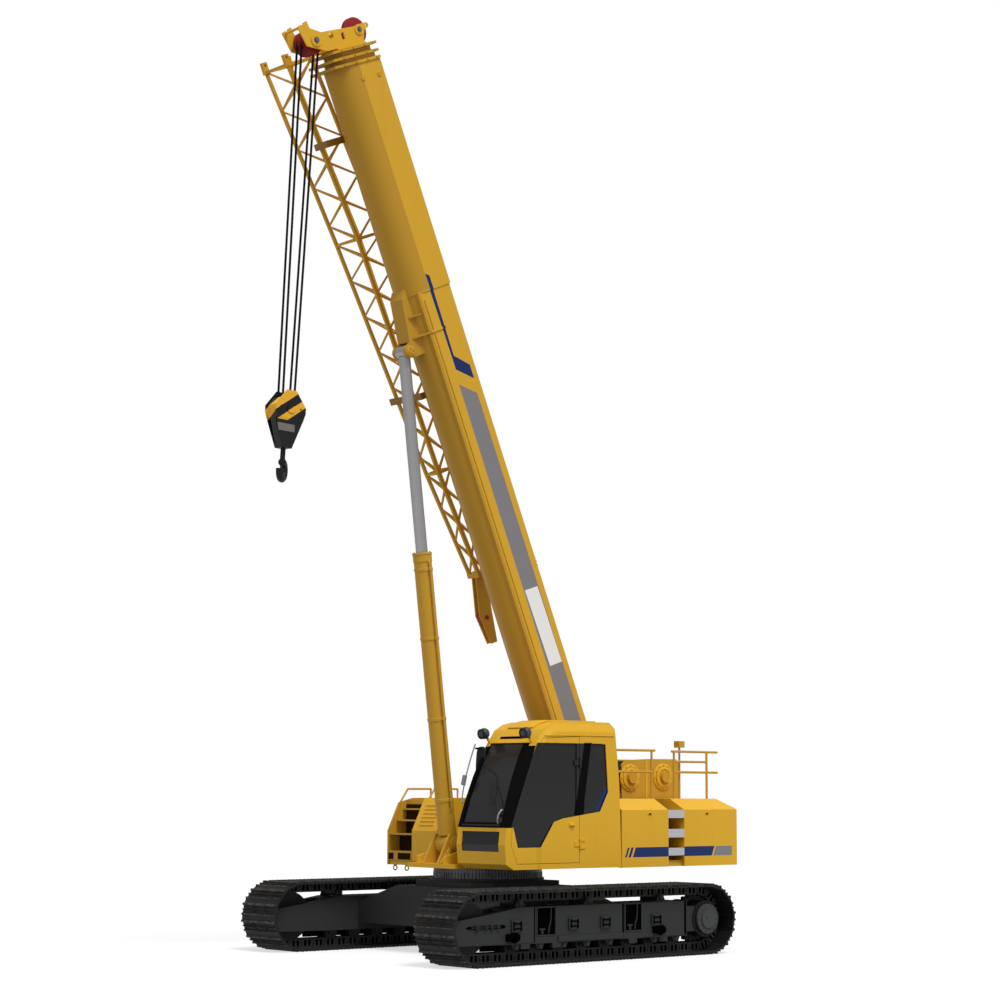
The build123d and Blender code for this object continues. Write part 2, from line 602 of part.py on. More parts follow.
def cab_shell():
    shell = prism_y(CAB_OUTLINE, CAB_IN_Y, BODY_HALF_Y)
    shell -= prism_y(inset(CAB_OUTLINE, CAB_WALL), CAB_IN_Y + CAB_WALL, BODY_HALF_Y - CAB_WALL)
    shell -= prism_y(DOOR_EDGE, BODY_HALF_Y - CAB_WALL - 1, BODY_HALF_Y + 1)
    # rear quarter window on the left, windows in the right wall, the front and the back
    shell -= prism_y([(-755, 2695), (-800, 2095), (-660, 1835), (-380, 1800), (-400, 2695)],
                     BODY_HALF_Y - CAB_WALL - 1, BODY_HALF_Y + 1)
    shell -= prism_y([(-755, 2695), (-800, 1900), (720, 1700), (610, 2050), (300, 2640)],
                     CAB_IN_Y - 1, CAB_IN_Y + CAB_WALL + 1)
    shell -= box(600, 1100, CAB_IN_Y + 90, BODY_HALF_Y - 125, 1335, 1585)
    shell -= prism_y([(1100, 1690), (1100, 2700), (300, 2700), (452, 2640), (640, 2300), (770, 2000), (850, 1700)],
                     CAB_IN_Y + 60, BODY_HALF_Y - 105)
    shell -= box(CAB_REAR_X - 20, CAB_REAR_X + 130, CAB_IN_Y + 110, BODY_HALF_Y - 200, 2120, 2700)
    return shell


cab = cab_shell()
HINGE_Y = BODY_HALF_Y + 15
HINGE_R = 14.0
HINGE_PIN_R = 7.0
HINGES_Z = (1420.0, 2450.0)


def upright(x, y, z0, z1, radius):
    return rod((x, y, z0), (x, y, z1), radius)


def hinge_cab_side(z):
    half = None
    for z0 in (z - 62, z + 32):
        leaf = upright(DOOR_REAR_X, HINGE_Y, z0, z0 + 30, HINGE_R)
        leaf += box(DOOR_REAR_X - 90, DOOR_REAR_X - 2, BODY_HALF_Y, BODY_HALF_Y + 9, z0, z0 + 30)
        half = leaf if half is None else half + leaf
    return half + upright(DOOR_REAR_X, HINGE_Y, z - 62, z + 62, HINGE_PIN_R)


def hinge_door_side(z):
    leaf = upright(DOOR_REAR_X, HINGE_Y, z - 31, z + 31, HINGE_R)
    leaf += box(DOOR_REAR_X + 8, DOOR_REAR_X + 90, BODY_HALF_Y, BODY_HALF_Y + 9, z - 31, z + 31)
    leaf += box(DOOR_REAR_X + 2, DOOR_REAR_X + 14, BODY_HALF_Y + 2, BODY_HALF_Y + 9, z - 31, z + 31)
    return leaf - upright(DOOR_REAR_X, HINGE_Y, z - 100, z + 100, HINGE_PIN_R + PIN_GAP)


cab_with_hinges = cab
for z in HINGES_Z:
    cab_with_hinges += hinge_cab_side(z)
save("cab_shell", cab_with_hinges)


def cab_glass():
    """Panes let into the front, the right side, the rear quarter and the back."""
    band = inset(CAB_OUTLINE, 16)
    thin = prism_y(band, CAB_IN_Y + 60, BODY_HALF_Y - 105) - prism_y(inset(CAB_OUTLINE, 16 + GLASS), 0, 2000)
    front = thin & prism_y([(1100, 1690), (1100, 2700), (300, 2700), (452, 2640), (640, 2300), (770, 2000),
                            (850, 1700)], CAB_IN_Y + 60, BODY_HALF_Y - 105)
    low = thin & box(600, 1100, CAB_IN_Y + 90, BODY_HALF_Y - 125, 1335, 1585)
    right = prism_y([(-755, 2695), (-800, 1900), (720, 1700), (610, 2050), (300, 2640)],
                    CAB_IN_Y + 14, CAB_IN_Y + 14 + GLASS)
    quarter = prism_y([(-755, 2695), (-800, 2095), (-660, 1835), (-380, 1800), (-400, 2695)],
                      BODY_HALF_Y - 14 - GLASS, BODY_HALF_Y - 14)
    return Compound(children=[front, low, right, quarter])


save("cab_glass", cab_glass())

DOOR_GAP = 6.0
door_outline = inset(DOOR_EDGE, DOOR_GAP)
pane = [(-250, 2690), (-245, 1800), (-63, 1758), (143, 1700), (366, 1405), (734, 1407), (790, 1600),
        (700, 2010), (560, 2300), (430, 2530), (300, 2690)]
door = prism_y(door_outline, BODY_HALF_Y - CAB_WALL, BODY_HALF_Y)
door -= prism_y(pane, BODY_HALF_Y - CAB_WALL - 1, BODY_HALF_Y + 1)
for z in HINGES_Z:
    door += hinge_door_side(z)
save("cab_door", door)
save("door_glass", prism_y(pane, BODY_HALF_Y - 14 - GLASS, BODY_HALF_Y - 14))


def seat():
    base = box(-350, 150, 760, 1210, CAB_LOW_Z + CAB_WALL, 1420)
    cushion = box(-400, 180, 740, 1230, 1420, 1560)
    back = Pos(-430, 985, 1860) * Rot(0, -10, 0) * Box(130, 470, 640)
    consoles = box(-300, 250, 640, 720, CAB_LOW_Z + CAB_WALL, 1680) + box(-300, 250, 1250, 1330, 1157, 1680)
    return Compound(children=[base + cushion + back, consoles])


save("operator_seat", seat())


def cab_lamps():
    lamps = []
    for y in (CAB_IN_Y + 38, BODY_HALF_Y - 88):
        stem = rod((440, y, 2700), (520, y, 2810), 18)
        lamp = Pos(541, y, 2823) * Sphere(72)
        lamps.append(lamp + stem)
    return lamps


save("work_lamps", Compound(children=[lamp - cab - prism_y(CAB_OUTLINE, CAB_IN_Y, BODY_HALF_Y) for lamp in cab_lamps()] + [pole]))

# ---- boom --------------------------------------------------------------------------------
BASE_END = 10200.0
BASE_START = -150.0
COLLAR = 36.0
COLLAR_HALF = 270.0
COLLAR_BACK = 366.0
THROAT = 60.0
PAD_GAP = 0.3


def extruded(curves, start, end):
    curve = curves[0]
    for piece in curves[1:]:
        curve += piece
    return Pos(start, 0, 0) * extrude(make_face(curve), amount=end - start, dir=(1, 0, 0))


def section(start, end, step):
    """Upright box with a half-round belly, smaller by the step all round."""
    half, back = BOOM_HALF_Y - step, BOOM_BACK - step
    sides = Polyline((0, half, BELLY_CENTRE), (0, half, back - 20), (0, half - 20, back), (0, -half + 20, back),
                     (0, -half, back - 20), (0, -half, BELLY_CENTRE))
    belly = ThreePointArc((0, -half, BELLY_CENTRE), (0, 0, BELLY_CENTRE - half), (0, half, BELLY_CENTRE))
    return extruded([sides, belly], start, end)


def ledged_section(start, end, step):
    """The lower part's section, whose sides come down past the round of the belly to a ledge."""
    half, back, ledge = BOOM_HALF_Y - step, BOOM_BACK - step, LEDGE_HALF_Y - step
    low = BELLY_CENTRE - math.sqrt(half * half - ledge * ledge)
    sides = Polyline((0, ledge, low), (0, half, low + 14), (0, half, back - 20), (0, half - 20, back),
                     (0, -half + 20, back), (0, -half, back - 20), (0, -half, low + 14), (0, -ledge, low))
    belly = ThreePointArc((0, -ledge, low), (0, 0, BELLY_CENTRE - half), (0, ledge, low))
    return extruded([sides, belly], start, end)


def collar(end, low):
    """Flange round a section's front end, down to a height."""
    return box(end - COLLAR, end, -COLLAR_HALF, COLLAR_HALF, low, COLLAR_BACK)


def pads(start, step):
    """Wear pads at a section's rear end, up to the inside of the section around it."""
    around = step - SECTION_STEP + WALL + PAD_GAP
    ring = section(start, start + 180, around) - section(start - 1, start + 181, step)
    return (ring & box(start, start + 180, -60, 60, -400, 0)) + (ring & box(start, start + 180, -110, 110, 0, 400))


def eye_lugs():
    """Bracket under the belly that holds the cylinder's rod eye, open between its cheeks."""
    lug = prism_y([(EYE_S - 95, -260), (EYE_S - 95, EYE_DROP + 20), (EYE_S, EYE_DROP - 60), (EYE_S + 60, EYE_DROP - 40),
                   (EYE_S + 110, -505), (EYE_S + 666, -415), (EYE_S + 772, -342), (EYE_S + 772, -260)], 92, 124)
    lug += disc_y(EYE_S, EYE_DROP, 88, 92, 138)
    lug -= disc_y(EYE_S, EYE_DROP, 50, 0, 400)
    # wing outside the cheek that spreads the load to the side of the boom
    lug += prism_x([(124, -460), (BOOM_HALF_Y, -250), (BOOM_HALF_Y + 14, -200), (BOOM_HALF_Y + 14, 60),
                    (BOOM_HALF_Y - 4, 60), (BOOM_HALF_Y - 4, -240), (124, -300)], EYE_S + 130, EYE_S + 158)
    lug += prism_x([(124, -420), (BOOM_HALF_Y - 4, -260), (124, -290)], EYE_S + 400, EYE_S + 424)
    return lug


def base_section():
    body = ledged_section(BASE_START, SHELL_START, 0)
    body += section(SHELL_START - 20, BASE_END, SHELL_STEP)
    lug = eye_lugs()
    body += lug
    body += mirrored(lug)
    floor = prism_y([(EYE_S + 110, -505), (EYE_S + 666, -415), (EYE_S + 772, -342), (EYE_S + 772, -322),
                     (EYE_S + 660, -397), (EYE_S + 110, -487)], -92, 92)
    body += floor
    body += disc_y(0, 0, 120, -PLATE_IN + 3, PLATE_IN - 3)
    body += collar(BASE_END, -430)
    body -= ledged_section(300, SHELL_START - 10, WALL)
    body -= section(SHELL_START - 11, BASE_END - THROAT, WALL)
    body -= section(BASE_END - THROAT - 1, BASE_END + 1, SECTION_STEP - SLIDE_GAP)
    body -= disc_y(0, 0, PIN_R + PIN_GAP, -500, 500)
    return body


boom_base = base_section()
save("boom_base_section", on_boom(boom_base))

# (name, how far its front end stands past the base section's, start along the boom, level, collar's low edge)
SECTIONS = [("boom_section_2", 90.0, 420.0, 1, -420.0), ("boom_section_3", 190.0, 520.0, 2, -386.0)]
for name, reach, start, level, low in SECTIONS:
    step = SECTION_STEP * level
    end = BASE_END + reach
    tube = section(start, end, step) + collar(end, low)
    tube -= section(start - 1, end - THROAT, step + WALL)
    tube -= section(end - THROAT - 1, end + 1, step + SECTION_STEP - SLIDE_GAP)
    tube += pads(start, step)
    save(name, on_boom(tube))

TIP_STEP = 3 * SECTION_STEP
TIP_START = 620.0
TIP_END = BASE_END + 216.0


def tip_section():
    tube = section(TIP_START, TIP_END, TIP_STEP)
    tube -= section(TIP_START + 20, TIP_END - 60, TIP_STEP + WALL)
    tube -= section(TIP_END - 40, TIP_END + 1, TIP_STEP + WALL)
    tube -= disc_y(TOP_SHEAVE_S, TOP_SHEAVE_DROP, TOP_SHEAVE_R + 10, -CHEEK_Y, CHEEK_Y)
    return tube + pads(TIP_START, TIP_STEP)


def head_frame():
    """Cheek plates that hold the head sheaves, on the end of the tip section."""
    cheek = prism_y([(TIP_END - 22, 227), (TIP_END - 22, -200), (TIP_END, -230), (TIP_END, -388), (10541, -684),
                     (10805, -739), (10851, -577), (10751, -560), (10669, -402), (10639, 146), (10648, 262),
                     (10600, 333), (10540, 300)], CHEEK_Y, CHEEK_Y + 22)
    for s, h, bore, boss in ((SHEAVE_S, SHEAVE_DROP, 45, 80), (TOP_SHEAVE_S, TOP_SHEAVE_DROP, 40, 70)):
        cheek += disc_y(s, h, boss, CHEEK_Y + 22, CHEEK_Y + 36)
        cheek -= disc_y(s, h, bore, 0, 400)
    # lifting lug and lightening slots
    cheek += prism_y([(10575, 300), (10585, 385), (10617, 405), (10650, 385), (10655, 280)], CHEEK_Y, CHEEK_Y + 22)
    cheek -= disc_y(10617, 368, 16, 0, 400)
    cheek -= disc_y(10826, -660, 20, 0, 400)
    cheek -= disc_y(10590, -259, 42, 0, 400)
    cheek -= box(10510, 10600, 0, 400, -92, -42)
    return cheek


head_cheek = head_frame()
head = head_cheek + mirrored(head_cheek)
head += box(TIP_END - 6, TIP_END + 16, -CHEEK_Y, CHEEK_Y, -270, 0)
for s, h in ((10790, -690), (10600, -160)):
    head += disc_y(s, h, 18, -CHEEK_Y, CHEEK_Y)
save("boom_tip_section", on_boom(tip_section() + head))


def sheave(s, h, radius, count, pitch, bore_r, middle, half):
    """A cluster of grooved wheels on one hub, with the axle ends in the cheeks."""
    hub = disc_y(s, h, radius * 0.55, middle - half, middle + half)
    for index in range(count):
        y = middle + (index - (count - 1) / 2) * pitch
        hub += disc_y(s, h, radius, y - pitch * 0.42, y - pitch * 0.24)
        hub += disc_y(s, h, radius, y + pitch * 0.24, y + pitch * 0.42)
        hub += disc_y(s, h, radius * GROOVE, y - pitch * 0.25, y + pitch * 0.25)
    hub += disc_y(s, h, bore_r - PIN_GAP, -CHEEK_Y - 30, CHEEK_Y + 30)
    return hub


GROOVE = 0.84
save("head_sheaves", on_boom(sheave(SHEAVE_S, SHEAVE_DROP, SHEAVE_R, 4, FALL_PITCH, 45, 0, 145)))
save("top_sheave", on_boom(sheave(TOP_SHEAVE_S, TOP_SHEAVE_DROP, TOP_SHEAVE_R, 1, 70, 40, TOP_SHEAVE_Y, 50)))

# ---- luffing cylinder ----------------------------------------------------------------------
EYE = boom_point(EYE_S, 0, EYE_DROP)
LUFF_DX, LUFF_DZ = EYE[0] - FOOT_X, EYE[2] - FOOT_Z
LUFF_LEN = math.hypot(LUFF_DX, LUFF_DZ)
LUFF_ANGLE = math.degrees(math.atan2(LUFF_DZ, LUFF_DX))


def on_cylinder(shape):
    return Pos(FOOT_X, 0, FOOT_Z) * Rot(0, -LUFF_ANGLE, 0) * shape


def barrel():
    tube = rod((120, 0, 0), (BARREL_LEN, 0, 0), BARREL_R)
    tube += rod((BARREL_LEN - 90, 0, 0), (BARREL_LEN, 0, 0), BARREL_R + 7)
    tube -= rod((BARREL_FLOOR, 0, 0), (BARREL_LEN + 1, 0, 0), BARREL_R - 20)
    tube += rod((BARREL_LEN - 90, 0, 0), (BARREL_LEN, 0, 0), BARREL_R + 7) - rod(
        (BARREL_LEN - 91, 0, 0), (BARREL_LEN + 1, 0, 0), ROD_R + PIN_GAP)
    tube += disc_y(0, 0, 125, -CHEEK_IN + 6, CHEEK_IN - 6)
    return tube


save("luffing_barrel", on_cylinder(barrel()))
RAM_IN = BARREL_FLOOR + LUFF_RETRACT + 40
ram = rod((RAM_IN, 0, 0), (LUFF_LEN - 60, 0, 0), ROD_R)
ram += disc_y(LUFF_LEN, 0, 84, -84, 84)
ram -= disc_y(LUFF_LEN, 0, 50 + PIN_GAP, -200, 200)
save("luffing_rod", on_cylinder(ram))
eye_pin = disc_y(EYE_S, EYE_DROP, 50, -135, 135)
save("cylinder_eye_pin", on_boom(eye_pin))

# ---- hook block ----------------------------------------------------------------------------
# drawn hanging plumb under the head sheaves' axle, then turned by the lean the falls have
HOOK_LEAN = 3.2
BLOCK_TOP, BLOCK_WIDE, BLOCK_LOW = -4560.0, -4790.0, -5285.0
BLOCK_SHEAVE_R = 110.0
BLOCK_CHEEK_Y = 104.0
HOOK_R = 105.0
HOOK_BAR_R = 48.0
HOOK_DROP = 280.0        # from the block's low edge to the middle of the hook's curve
HOOK_TURN = 40.0         # the hook hangs turned about its shank
ROPE_R = 11.0
FALL_GAP = 0.3
SWIVEL_GAP = 0.3
HEAD = boom_point(SHEAVE_S, 0, SHEAVE_DROP)
FALLS_Y = (-1.5 * FALL_PITCH, -0.5 * FALL_PITCH, 0.5 * FALL_PITCH, 1.5 * FALL_PITCH)


def on_falls(shape):
    return Pos(*HEAD) * Rot(0, -HOOK_LEAN, 0) * shape


def wheel_group(y):
    """One grooved block sheave on the block's axle."""
    half = FALL_PITCH * 0.42
    wheel = disc_y(0, BLOCK_WIDE, BLOCK_SHEAVE_R * GROOVE, y - half, y + half)
    wheel += disc_y(0, BLOCK_WIDE, BLOCK_SHEAVE_R, y - half, y - half * 0.56)
    wheel += disc_y(0, BLOCK_WIDE, BLOCK_SHEAVE_R, y + half * 0.56, y + half)
    return wheel - disc_y(0, BLOCK_WIDE, 40, -200, 200)


def hook_block():
    """Two cheek plates bent in towards the swivel, with the sheaves between them."""
    outline = prism_y([(-72, BLOCK_TOP), (72, BLOCK_TOP), (228, BLOCK_WIDE + 30), (228, BLOCK_WIDE - 40),
                       (80, BLOCK_LOW), (-80, BLOCK_LOW), (-228, BLOCK_WIDE - 40), (-228, BLOCK_WIDE + 30)], 0, 200)
    knee = BLOCK_WIDE - BLOCK_SHEAVE_R - 10
    plate = prism_x([(BLOCK_CHEEK_Y, BLOCK_TOP + 1), (BLOCK_CHEEK_Y + 16, BLOCK_TOP + 1),
                     (BLOCK_CHEEK_Y + 16, knee), (70, BLOCK_LOW - 1), (54, BLOCK_LOW - 1), (BLOCK_CHEEK_Y, knee)],
                    -300, 300)
    cheek = outline & plate
    cheek += disc_y(0, BLOCK_WIDE, 60, BLOCK_CHEEK_Y + 16, BLOCK_CHEEK_Y + 28)
    block = cheek + mirrored(cheek) + disc_y(0, BLOCK_WIDE, 40, -BLOCK_CHEEK_Y, BLOCK_CHEEK_Y)
    block += box(-66, 66, -60, 60, BLOCK_LOW, BLOCK_LOW + 110)
    wheels = [wheel_group(y) for y in FALLS_Y]
    return Compound(children=[block] + wheels)


def hoist_ropes():
    falls = []
    for index, y in enumerate(FALLS_Y):
        side = 1 if index % 2 else -1
        low = side * (BLOCK_SHEAVE_R * GROOVE + ROPE_R + FALL_GAP)
        high = side * (SHEAVE_R * GROOVE + ROPE_R + FALL_GAP)
        falls.append(rod((low, y, BLOCK_WIDE), (high, y, 0), ROPE_R))
    return Compound(children=falls)


save("hook_block", on_falls(hook_block()))
save("hoist_ropes", on_falls(hoist_ropes()))
HOOK_MIDDLE = BLOCK_LOW - HOOK_DROP
shank = rod((0, 0, HOOK_MIDDLE + HOOK_R - 20), (0, 0, BLOCK_LOW - SWIVEL_GAP), 32)
hook_curve = Pos(0, 0, HOOK_MIDDLE) * Rot(90, 0, 0) * Torus(HOOK_R, HOOK_BAR_R)
hook_curve -= box(20, 300, -100, 100, HOOK_MIDDLE + 6, HOOK_MIDDLE + 300)
save("hook", on_falls(Rot(0, 0, HOOK_TURN) * (shank + hook_curve)))

# ---- lattice jib, stowed along the boom's right side -----------------------------------------
# stations from the base to the tip: along the boom, outer and inner side, low and top chord
JIB_STATIONS = [(10430.0, -930.0, -450.0, -580.0, -165.0), (8000.0, -930.0, -465.0, -335.0, 75.0),
                (4700.0, -750.0, -500.0, -205.0, 15.0), (3200.0, -700.0, -520.0, -60.0, 100.0)]
JIB_BAYS = (9, 13, 6)


def jib_station(share_s):
    """Outer and inner side, low and top chord of the jib at a place along the boom."""
    for first, last in zip(JIB_STATIONS, JIB_STATIONS[1:]):
        if share_s >= last[0]:
            break
    share = (first[0] - share_s) / (first[0] - last[0])
    return [start + (end - start) * share for start, end in zip(first[1:], last[1:])]


def jib():
    """Four chords with crossed lacing, in straight lengths from station to station."""
    frame = None
    for length, bays in enumerate(JIB_BAYS):
        first, last = JIB_STATIONS[length][0], JIB_STATIONS[length + 1][0]
        corners = []
        for index in range(bays + 1):
            s = first + (last - first) * index / bays
            out, inn, low, top = jib_station(s)
            corners.append([(s, out, top), (s, inn, top), (s, inn, low), (s, out, low)])
        for corner in range(4):
            bar = square_bar(corners[0][corner], corners[-1][corner], 40)
            frame = bar if frame is None else frame + bar
            frame += square_bar(corners[0][corner], corners[0][(corner + 1) % 4], 34)
            frame += square_bar(corners[-1][corner], corners[-1][(corner + 1) % 4], 34)
        for index in range(bays):
            here, there = corners[index], corners[index + 1]
            for corner in range(4):
                following = (corner + 1) % 4
                start, end = (corner, following) if (index + corner) % 2 else (following, corner)
                frame += square_bar(here[start], there[end], 20)
    return frame


JIB_SHEAVE_S = 2600.0
JIB_SHEAVE_DROP = -110.0
JIB_SHEAVE_Y = -610.0
JIB_SHEAVE_R = 105.0


def jib_head():
    """End frame, two cheeks for the tip sheave, and the base lugs."""
    s = JIB_STATIONS[-1][0]
    out, inn, low, top = jib_station(s)
    head = box(s - 40, s + 26, out - 26, inn + 26, low - 26, top + 26)
    for y0 in (JIB_SHEAVE_Y - 48, JIB_SHEAVE_Y + 32):
        cheek = prism_y([(s - 40, top + 10), (s - 40, low - 20), (JIB_SHEAVE_S + 60, JIB_SHEAVE_DROP - 110),
                         (JIB_SHEAVE_S - 360, JIB_SHEAVE_DROP - 60), (JIB_SHEAVE_S - 370, JIB_SHEAVE_DROP + 50),
                         (JIB_SHEAVE_S + 40, JIB_SHEAVE_DROP + 120)], y0, y0 + 16)
        head += cheek - disc_y(JIB_SHEAVE_S, JIB_SHEAVE_DROP, 30, -2000, 2000)
    return head


def jib_lugs():
    s = JIB_STATIONS[0][0]
    out, inn, low, top = jib_station(s)
    lugs = None
    for y in (out, inn):
        for h in (top, low):
            lug = box(s - 30, s + 130, y - 27, y + 27, h - 40, h + 40) - disc_y(s + 90, h, 20, y - 60, y + 60)
            lugs = lug if lugs is None else lugs + lug
    return lugs


save("jib_lattice", on_boom(jib() + jib_head() + jib_lugs()))
jib_wheel = disc_y(JIB_SHEAVE_S, JIB_SHEAVE_DROP, JIB_SHEAVE_R, JIB_SHEAVE_Y - 24, JIB_SHEAVE_Y + 24)
jib_wheel += disc_y(JIB_SHEAVE_S, JIB_SHEAVE_DROP, 30 - PIN_GAP, JIB_SHEAVE_Y - 60, JIB_SHEAVE_Y + 60)
save("jib_sheave", on_boom(jib_wheel))


def jib_brackets():
    """Arms on the boom's right side that carry the stowed jib."""
    arms = []
    lattice = jib()
    for s in (9300.0, 5780.0):
        out, inn, low, top = jib_station(s)
        wall = -BOOM_HALF_Y + (SHELL_STEP if s > SHELL_START else 0)
        reach = inn - 60 if s > SHELL_START else out - 100
        arm = box(s - 45, s + 45, reach, wall, low - 55, low - 25)
        arm += box(s - 45, s + 45, wall - 16, wall, min(low - 55, -90), max(low, 100))
        arms.append(arm - lattice)
    return arms


save("jib_brackets", on_boom(Compound(children=jib_brackets())))
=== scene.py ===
import json
import math

import bmesh
import bpy
from mathutils import Matrix, Vector


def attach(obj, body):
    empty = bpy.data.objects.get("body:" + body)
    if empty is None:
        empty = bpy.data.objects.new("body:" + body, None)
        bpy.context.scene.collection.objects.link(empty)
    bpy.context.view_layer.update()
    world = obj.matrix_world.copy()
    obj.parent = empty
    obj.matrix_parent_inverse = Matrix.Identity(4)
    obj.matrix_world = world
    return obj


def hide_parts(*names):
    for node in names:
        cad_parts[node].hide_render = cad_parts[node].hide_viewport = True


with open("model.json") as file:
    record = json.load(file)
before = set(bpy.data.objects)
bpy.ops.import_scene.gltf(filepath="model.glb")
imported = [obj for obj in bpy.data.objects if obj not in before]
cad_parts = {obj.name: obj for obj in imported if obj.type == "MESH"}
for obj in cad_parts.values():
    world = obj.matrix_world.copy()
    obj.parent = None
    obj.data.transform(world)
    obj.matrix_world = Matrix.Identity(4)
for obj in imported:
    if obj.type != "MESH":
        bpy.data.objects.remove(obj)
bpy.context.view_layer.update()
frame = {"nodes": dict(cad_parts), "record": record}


# ---- making a finish ----
def srgb(red, green, blue):
    """A colour as it is seen, 0 to 255, in the numbers that a shader takes."""
    def linear(level):
        level /= 255
        return level / 12.92 if level <= 0.04045 else ((level + 0.055) / 1.055) ** 2.4
    return (linear(red), linear(green), linear(blue), 1.0)


class Wire:
    """A socket of a material's nodes. A sum or product of wires adds its Math node."""

    def __init__(self, tree, socket=None):
        self.tree = tree
        self.socket = socket

    def add(self, kind, inputs=None, out=0, stops=None, **settings):
        """One more node: its type, its settings, a ramp's stops, and its sockets' values or wires."""
        node = self.tree.nodes.new("ShaderNode" + kind)
        for name, value in settings.items():
            setattr(node, name, value)
        if stops:
            ramp = node.color_ramp
            while len(ramp.elements) < len(stops):
                ramp.elements.new(1.0)
            for element, (place, colour) in zip(ramp.elements, stops):
                element.position = place
                element.color = colour
        for name, value in (inputs or {}).items():
            if isinstance(value, Wire):
                self.tree.links.new(value.socket, node.inputs[name])
            else:
                node.inputs[name].default_value = value
        return Wire(self.tree, node.outputs[out])

    def maths(self, operation, *values, **settings):
        return self.add("Math", dict(enumerate(values)), operation=operation, **settings)

    def __add__(self, other):
        return self.maths("ADD", self, other)

    __radd__ = __add__

    def __sub__(self, other):
        return self.maths("SUBTRACT", self, other)

    def __rsub__(self, other):
        return self.maths("SUBTRACT", other, self)

    def __mul__(self, other):
        return self.maths("MULTIPLY", self, other)

    __rmul__ = __mul__

    def least(self, other):
        return self.maths("MINIMUM", self, other)

    def most(self, other):
        return self.maths("MAXIMUM", self, other)

    def size(self):
        return self.maths("ABSOLUTE", self)

    def step(self, low, high):
        """0 below low, 1 above high, smooth between; turned round where high is below low."""
        flip = high < low
        value = self.add("MapRange", {"Value": self, "From Min": min(low, high), "From Max": max(low, high)},
                         interpolation_type="SMOOTHSTEP")
        return 1.0 - value if flip else value

    def between(self, low, high, edge=0.002):
        return self.step(low - edge, low + edge) * self.step(high + edge, high - edge)


class Finish:
    """A material: object coordinates to draw patterns with, and one principled shader."""

    def __init__(self, name, colour, roughness=0.5, **constants):
        self.material = bpy.data.materials.new(name)
        self.material.use_nodes = True
        self.material.diffuse_color = colour
        self.tree = self.material.node_tree
        self.shader = self.tree.nodes["Principled BSDF"]
        self.shader.inputs["Base Color"].default_value = colour
        self.shader.inputs["Roughness"].default_value = roughness
        for socket, value in constants.items():
            self.shader.inputs[socket.replace("_", " ")].default_value = value
        self.maker = Wire(self.tree)
        self.place = self.maker.add("TexCoord", out=3)
        apart = self.maker.add("SeparateXYZ", {0: self.place})
        sockets = apart.socket.node.outputs
        self.x, self.y, self.z = (Wire(self.tree, sockets[i]) for i in range(3))
        self.colour = colour
        self.roughness = roughness
        self.bumps = []
        self.matt = None

    def noise(self, scale, detail=3.0, stretch=None, rough=0.5):
        place = self.place
        if stretch:
            place = self.maker.add("Mapping", {"Vector": place, "Scale": stretch})
        return self.maker.add("TexNoise", {"Vector": place, "Scale": scale, "Detail": detail, "Roughness": rough})

    def over(self, mask, colour):
        """Colour over what is there, where the mask is 1."""
        self.colour = self.maker.add("Mix", {0: mask, 6: self.colour, 7: colour}, out=2, data_type="RGBA")

    def blacken(self, mask):
        """Dull black where the mask is 1, without the paint's shine."""
        self.matt = mask if self.matt is None else self.matt.most(mask)

    def tint(self, amount, light):
        """Multiplies the colour from 1 - light to 1 + light as the amount goes from 0 to 1."""
        level = amount * (2 * light) + (1.0 - light)
        self.colour = self.maker.add("VectorMath", {0: self.colour[:3] if isinstance(self.colour, tuple)
                                                    else self.colour, 3: level}, operation="SCALE")

    def rough(self, mask, value):
        self.roughness = self.roughness + mask * value

    def bump(self, height, distance, strength=1.0):
        self.bumps.append((height, distance, strength))

    def done(self):
        link = self.tree.links.new
        if isinstance(self.colour, Wire):
            link(self.colour.socket, self.shader.inputs["Base Color"])
        if isinstance(self.roughness, Wire):
            link(self.roughness.socket, self.shader.inputs["Roughness"])
        normal = None
        for height, distance, strength in self.bumps:
            inputs = {"Height": height, "Distance": distance, "Strength": strength}
            if normal is not None:
                inputs["Normal"] = normal
            normal = self.maker.add("Bump", inputs)
        if normal is not None:
            link(normal.socket, self.shader.inputs["Normal"])
        if self.matt is not None:
            black = self.maker.add("BsdfPrincipled", {"Base Color": (0.002, 0.002, 0.002, 1), "Roughness": 0.7,
                                                      "Specular IOR Level": 0.05})
            mixed = self.maker.add("MixShader", {0: self.matt, 1: Wire(self.tree, self.shader.outputs[0]), 2: black})
            link(mixed.socket, self.tree.nodes["Material Output"].inputs["Surface"])
        return self.material


def polygon_mask(u, v, corners, edge=0.002):
    """1 inside a convex outline drawn in the wires u and v, corners in order either way round."""
    area = sum(a[0] * b[1] - b[0] * a[1] for a, b in zip(corners, corners[1:] + corners[:1]))
    turn = 1 if area > 0 else -1
    inside = None
    for (ax, ay), (bx, by) in zip(corners, corners[1:] + corners[:1]):
        length = math.hypot(bx - ax, by - ay)
        nx, ny = -(by - ay) / length * turn, (bx - ax) / length * turn
        depth = (u * nx + v * ny) - (ax * nx + ay * ny)
        inside = depth if inside is None else inside.least(depth)
    return inside.step(-edge, edge)


# ---- places that patterns and pieces share ----
LEFT = (0, 1, 0)
BODY_Y = 1.458                      # outer face of the cab and the cabinets

# the boom's own frame: s along it from its foot pin, h towards its back
BOOM_ANGLE = math.radians(66.75)
PIVOT = Vector((-1.571, 0, 2.086))
BOOM = Matrix.Translation(PIVOT) @ Matrix.Rotation(-BOOM_ANGLE, 4, "Y")
BOOM_HALF_Y = 0.240
HEAD_PIN = (10.585, -0.520)
TOP_PIN = (10.582, 0.221)
EYE_PIN = (6.434, -0.550)

# the falls' frame hangs from the head's sheave pin
HEAD = BOOM @ Vector((HEAD_PIN[0], 0, HEAD_PIN[1]))
LEAN = math.radians(3.2)
FALLS = Matrix.Translation(HEAD) @ Matrix.Rotation(-LEAN, 4, "Y")

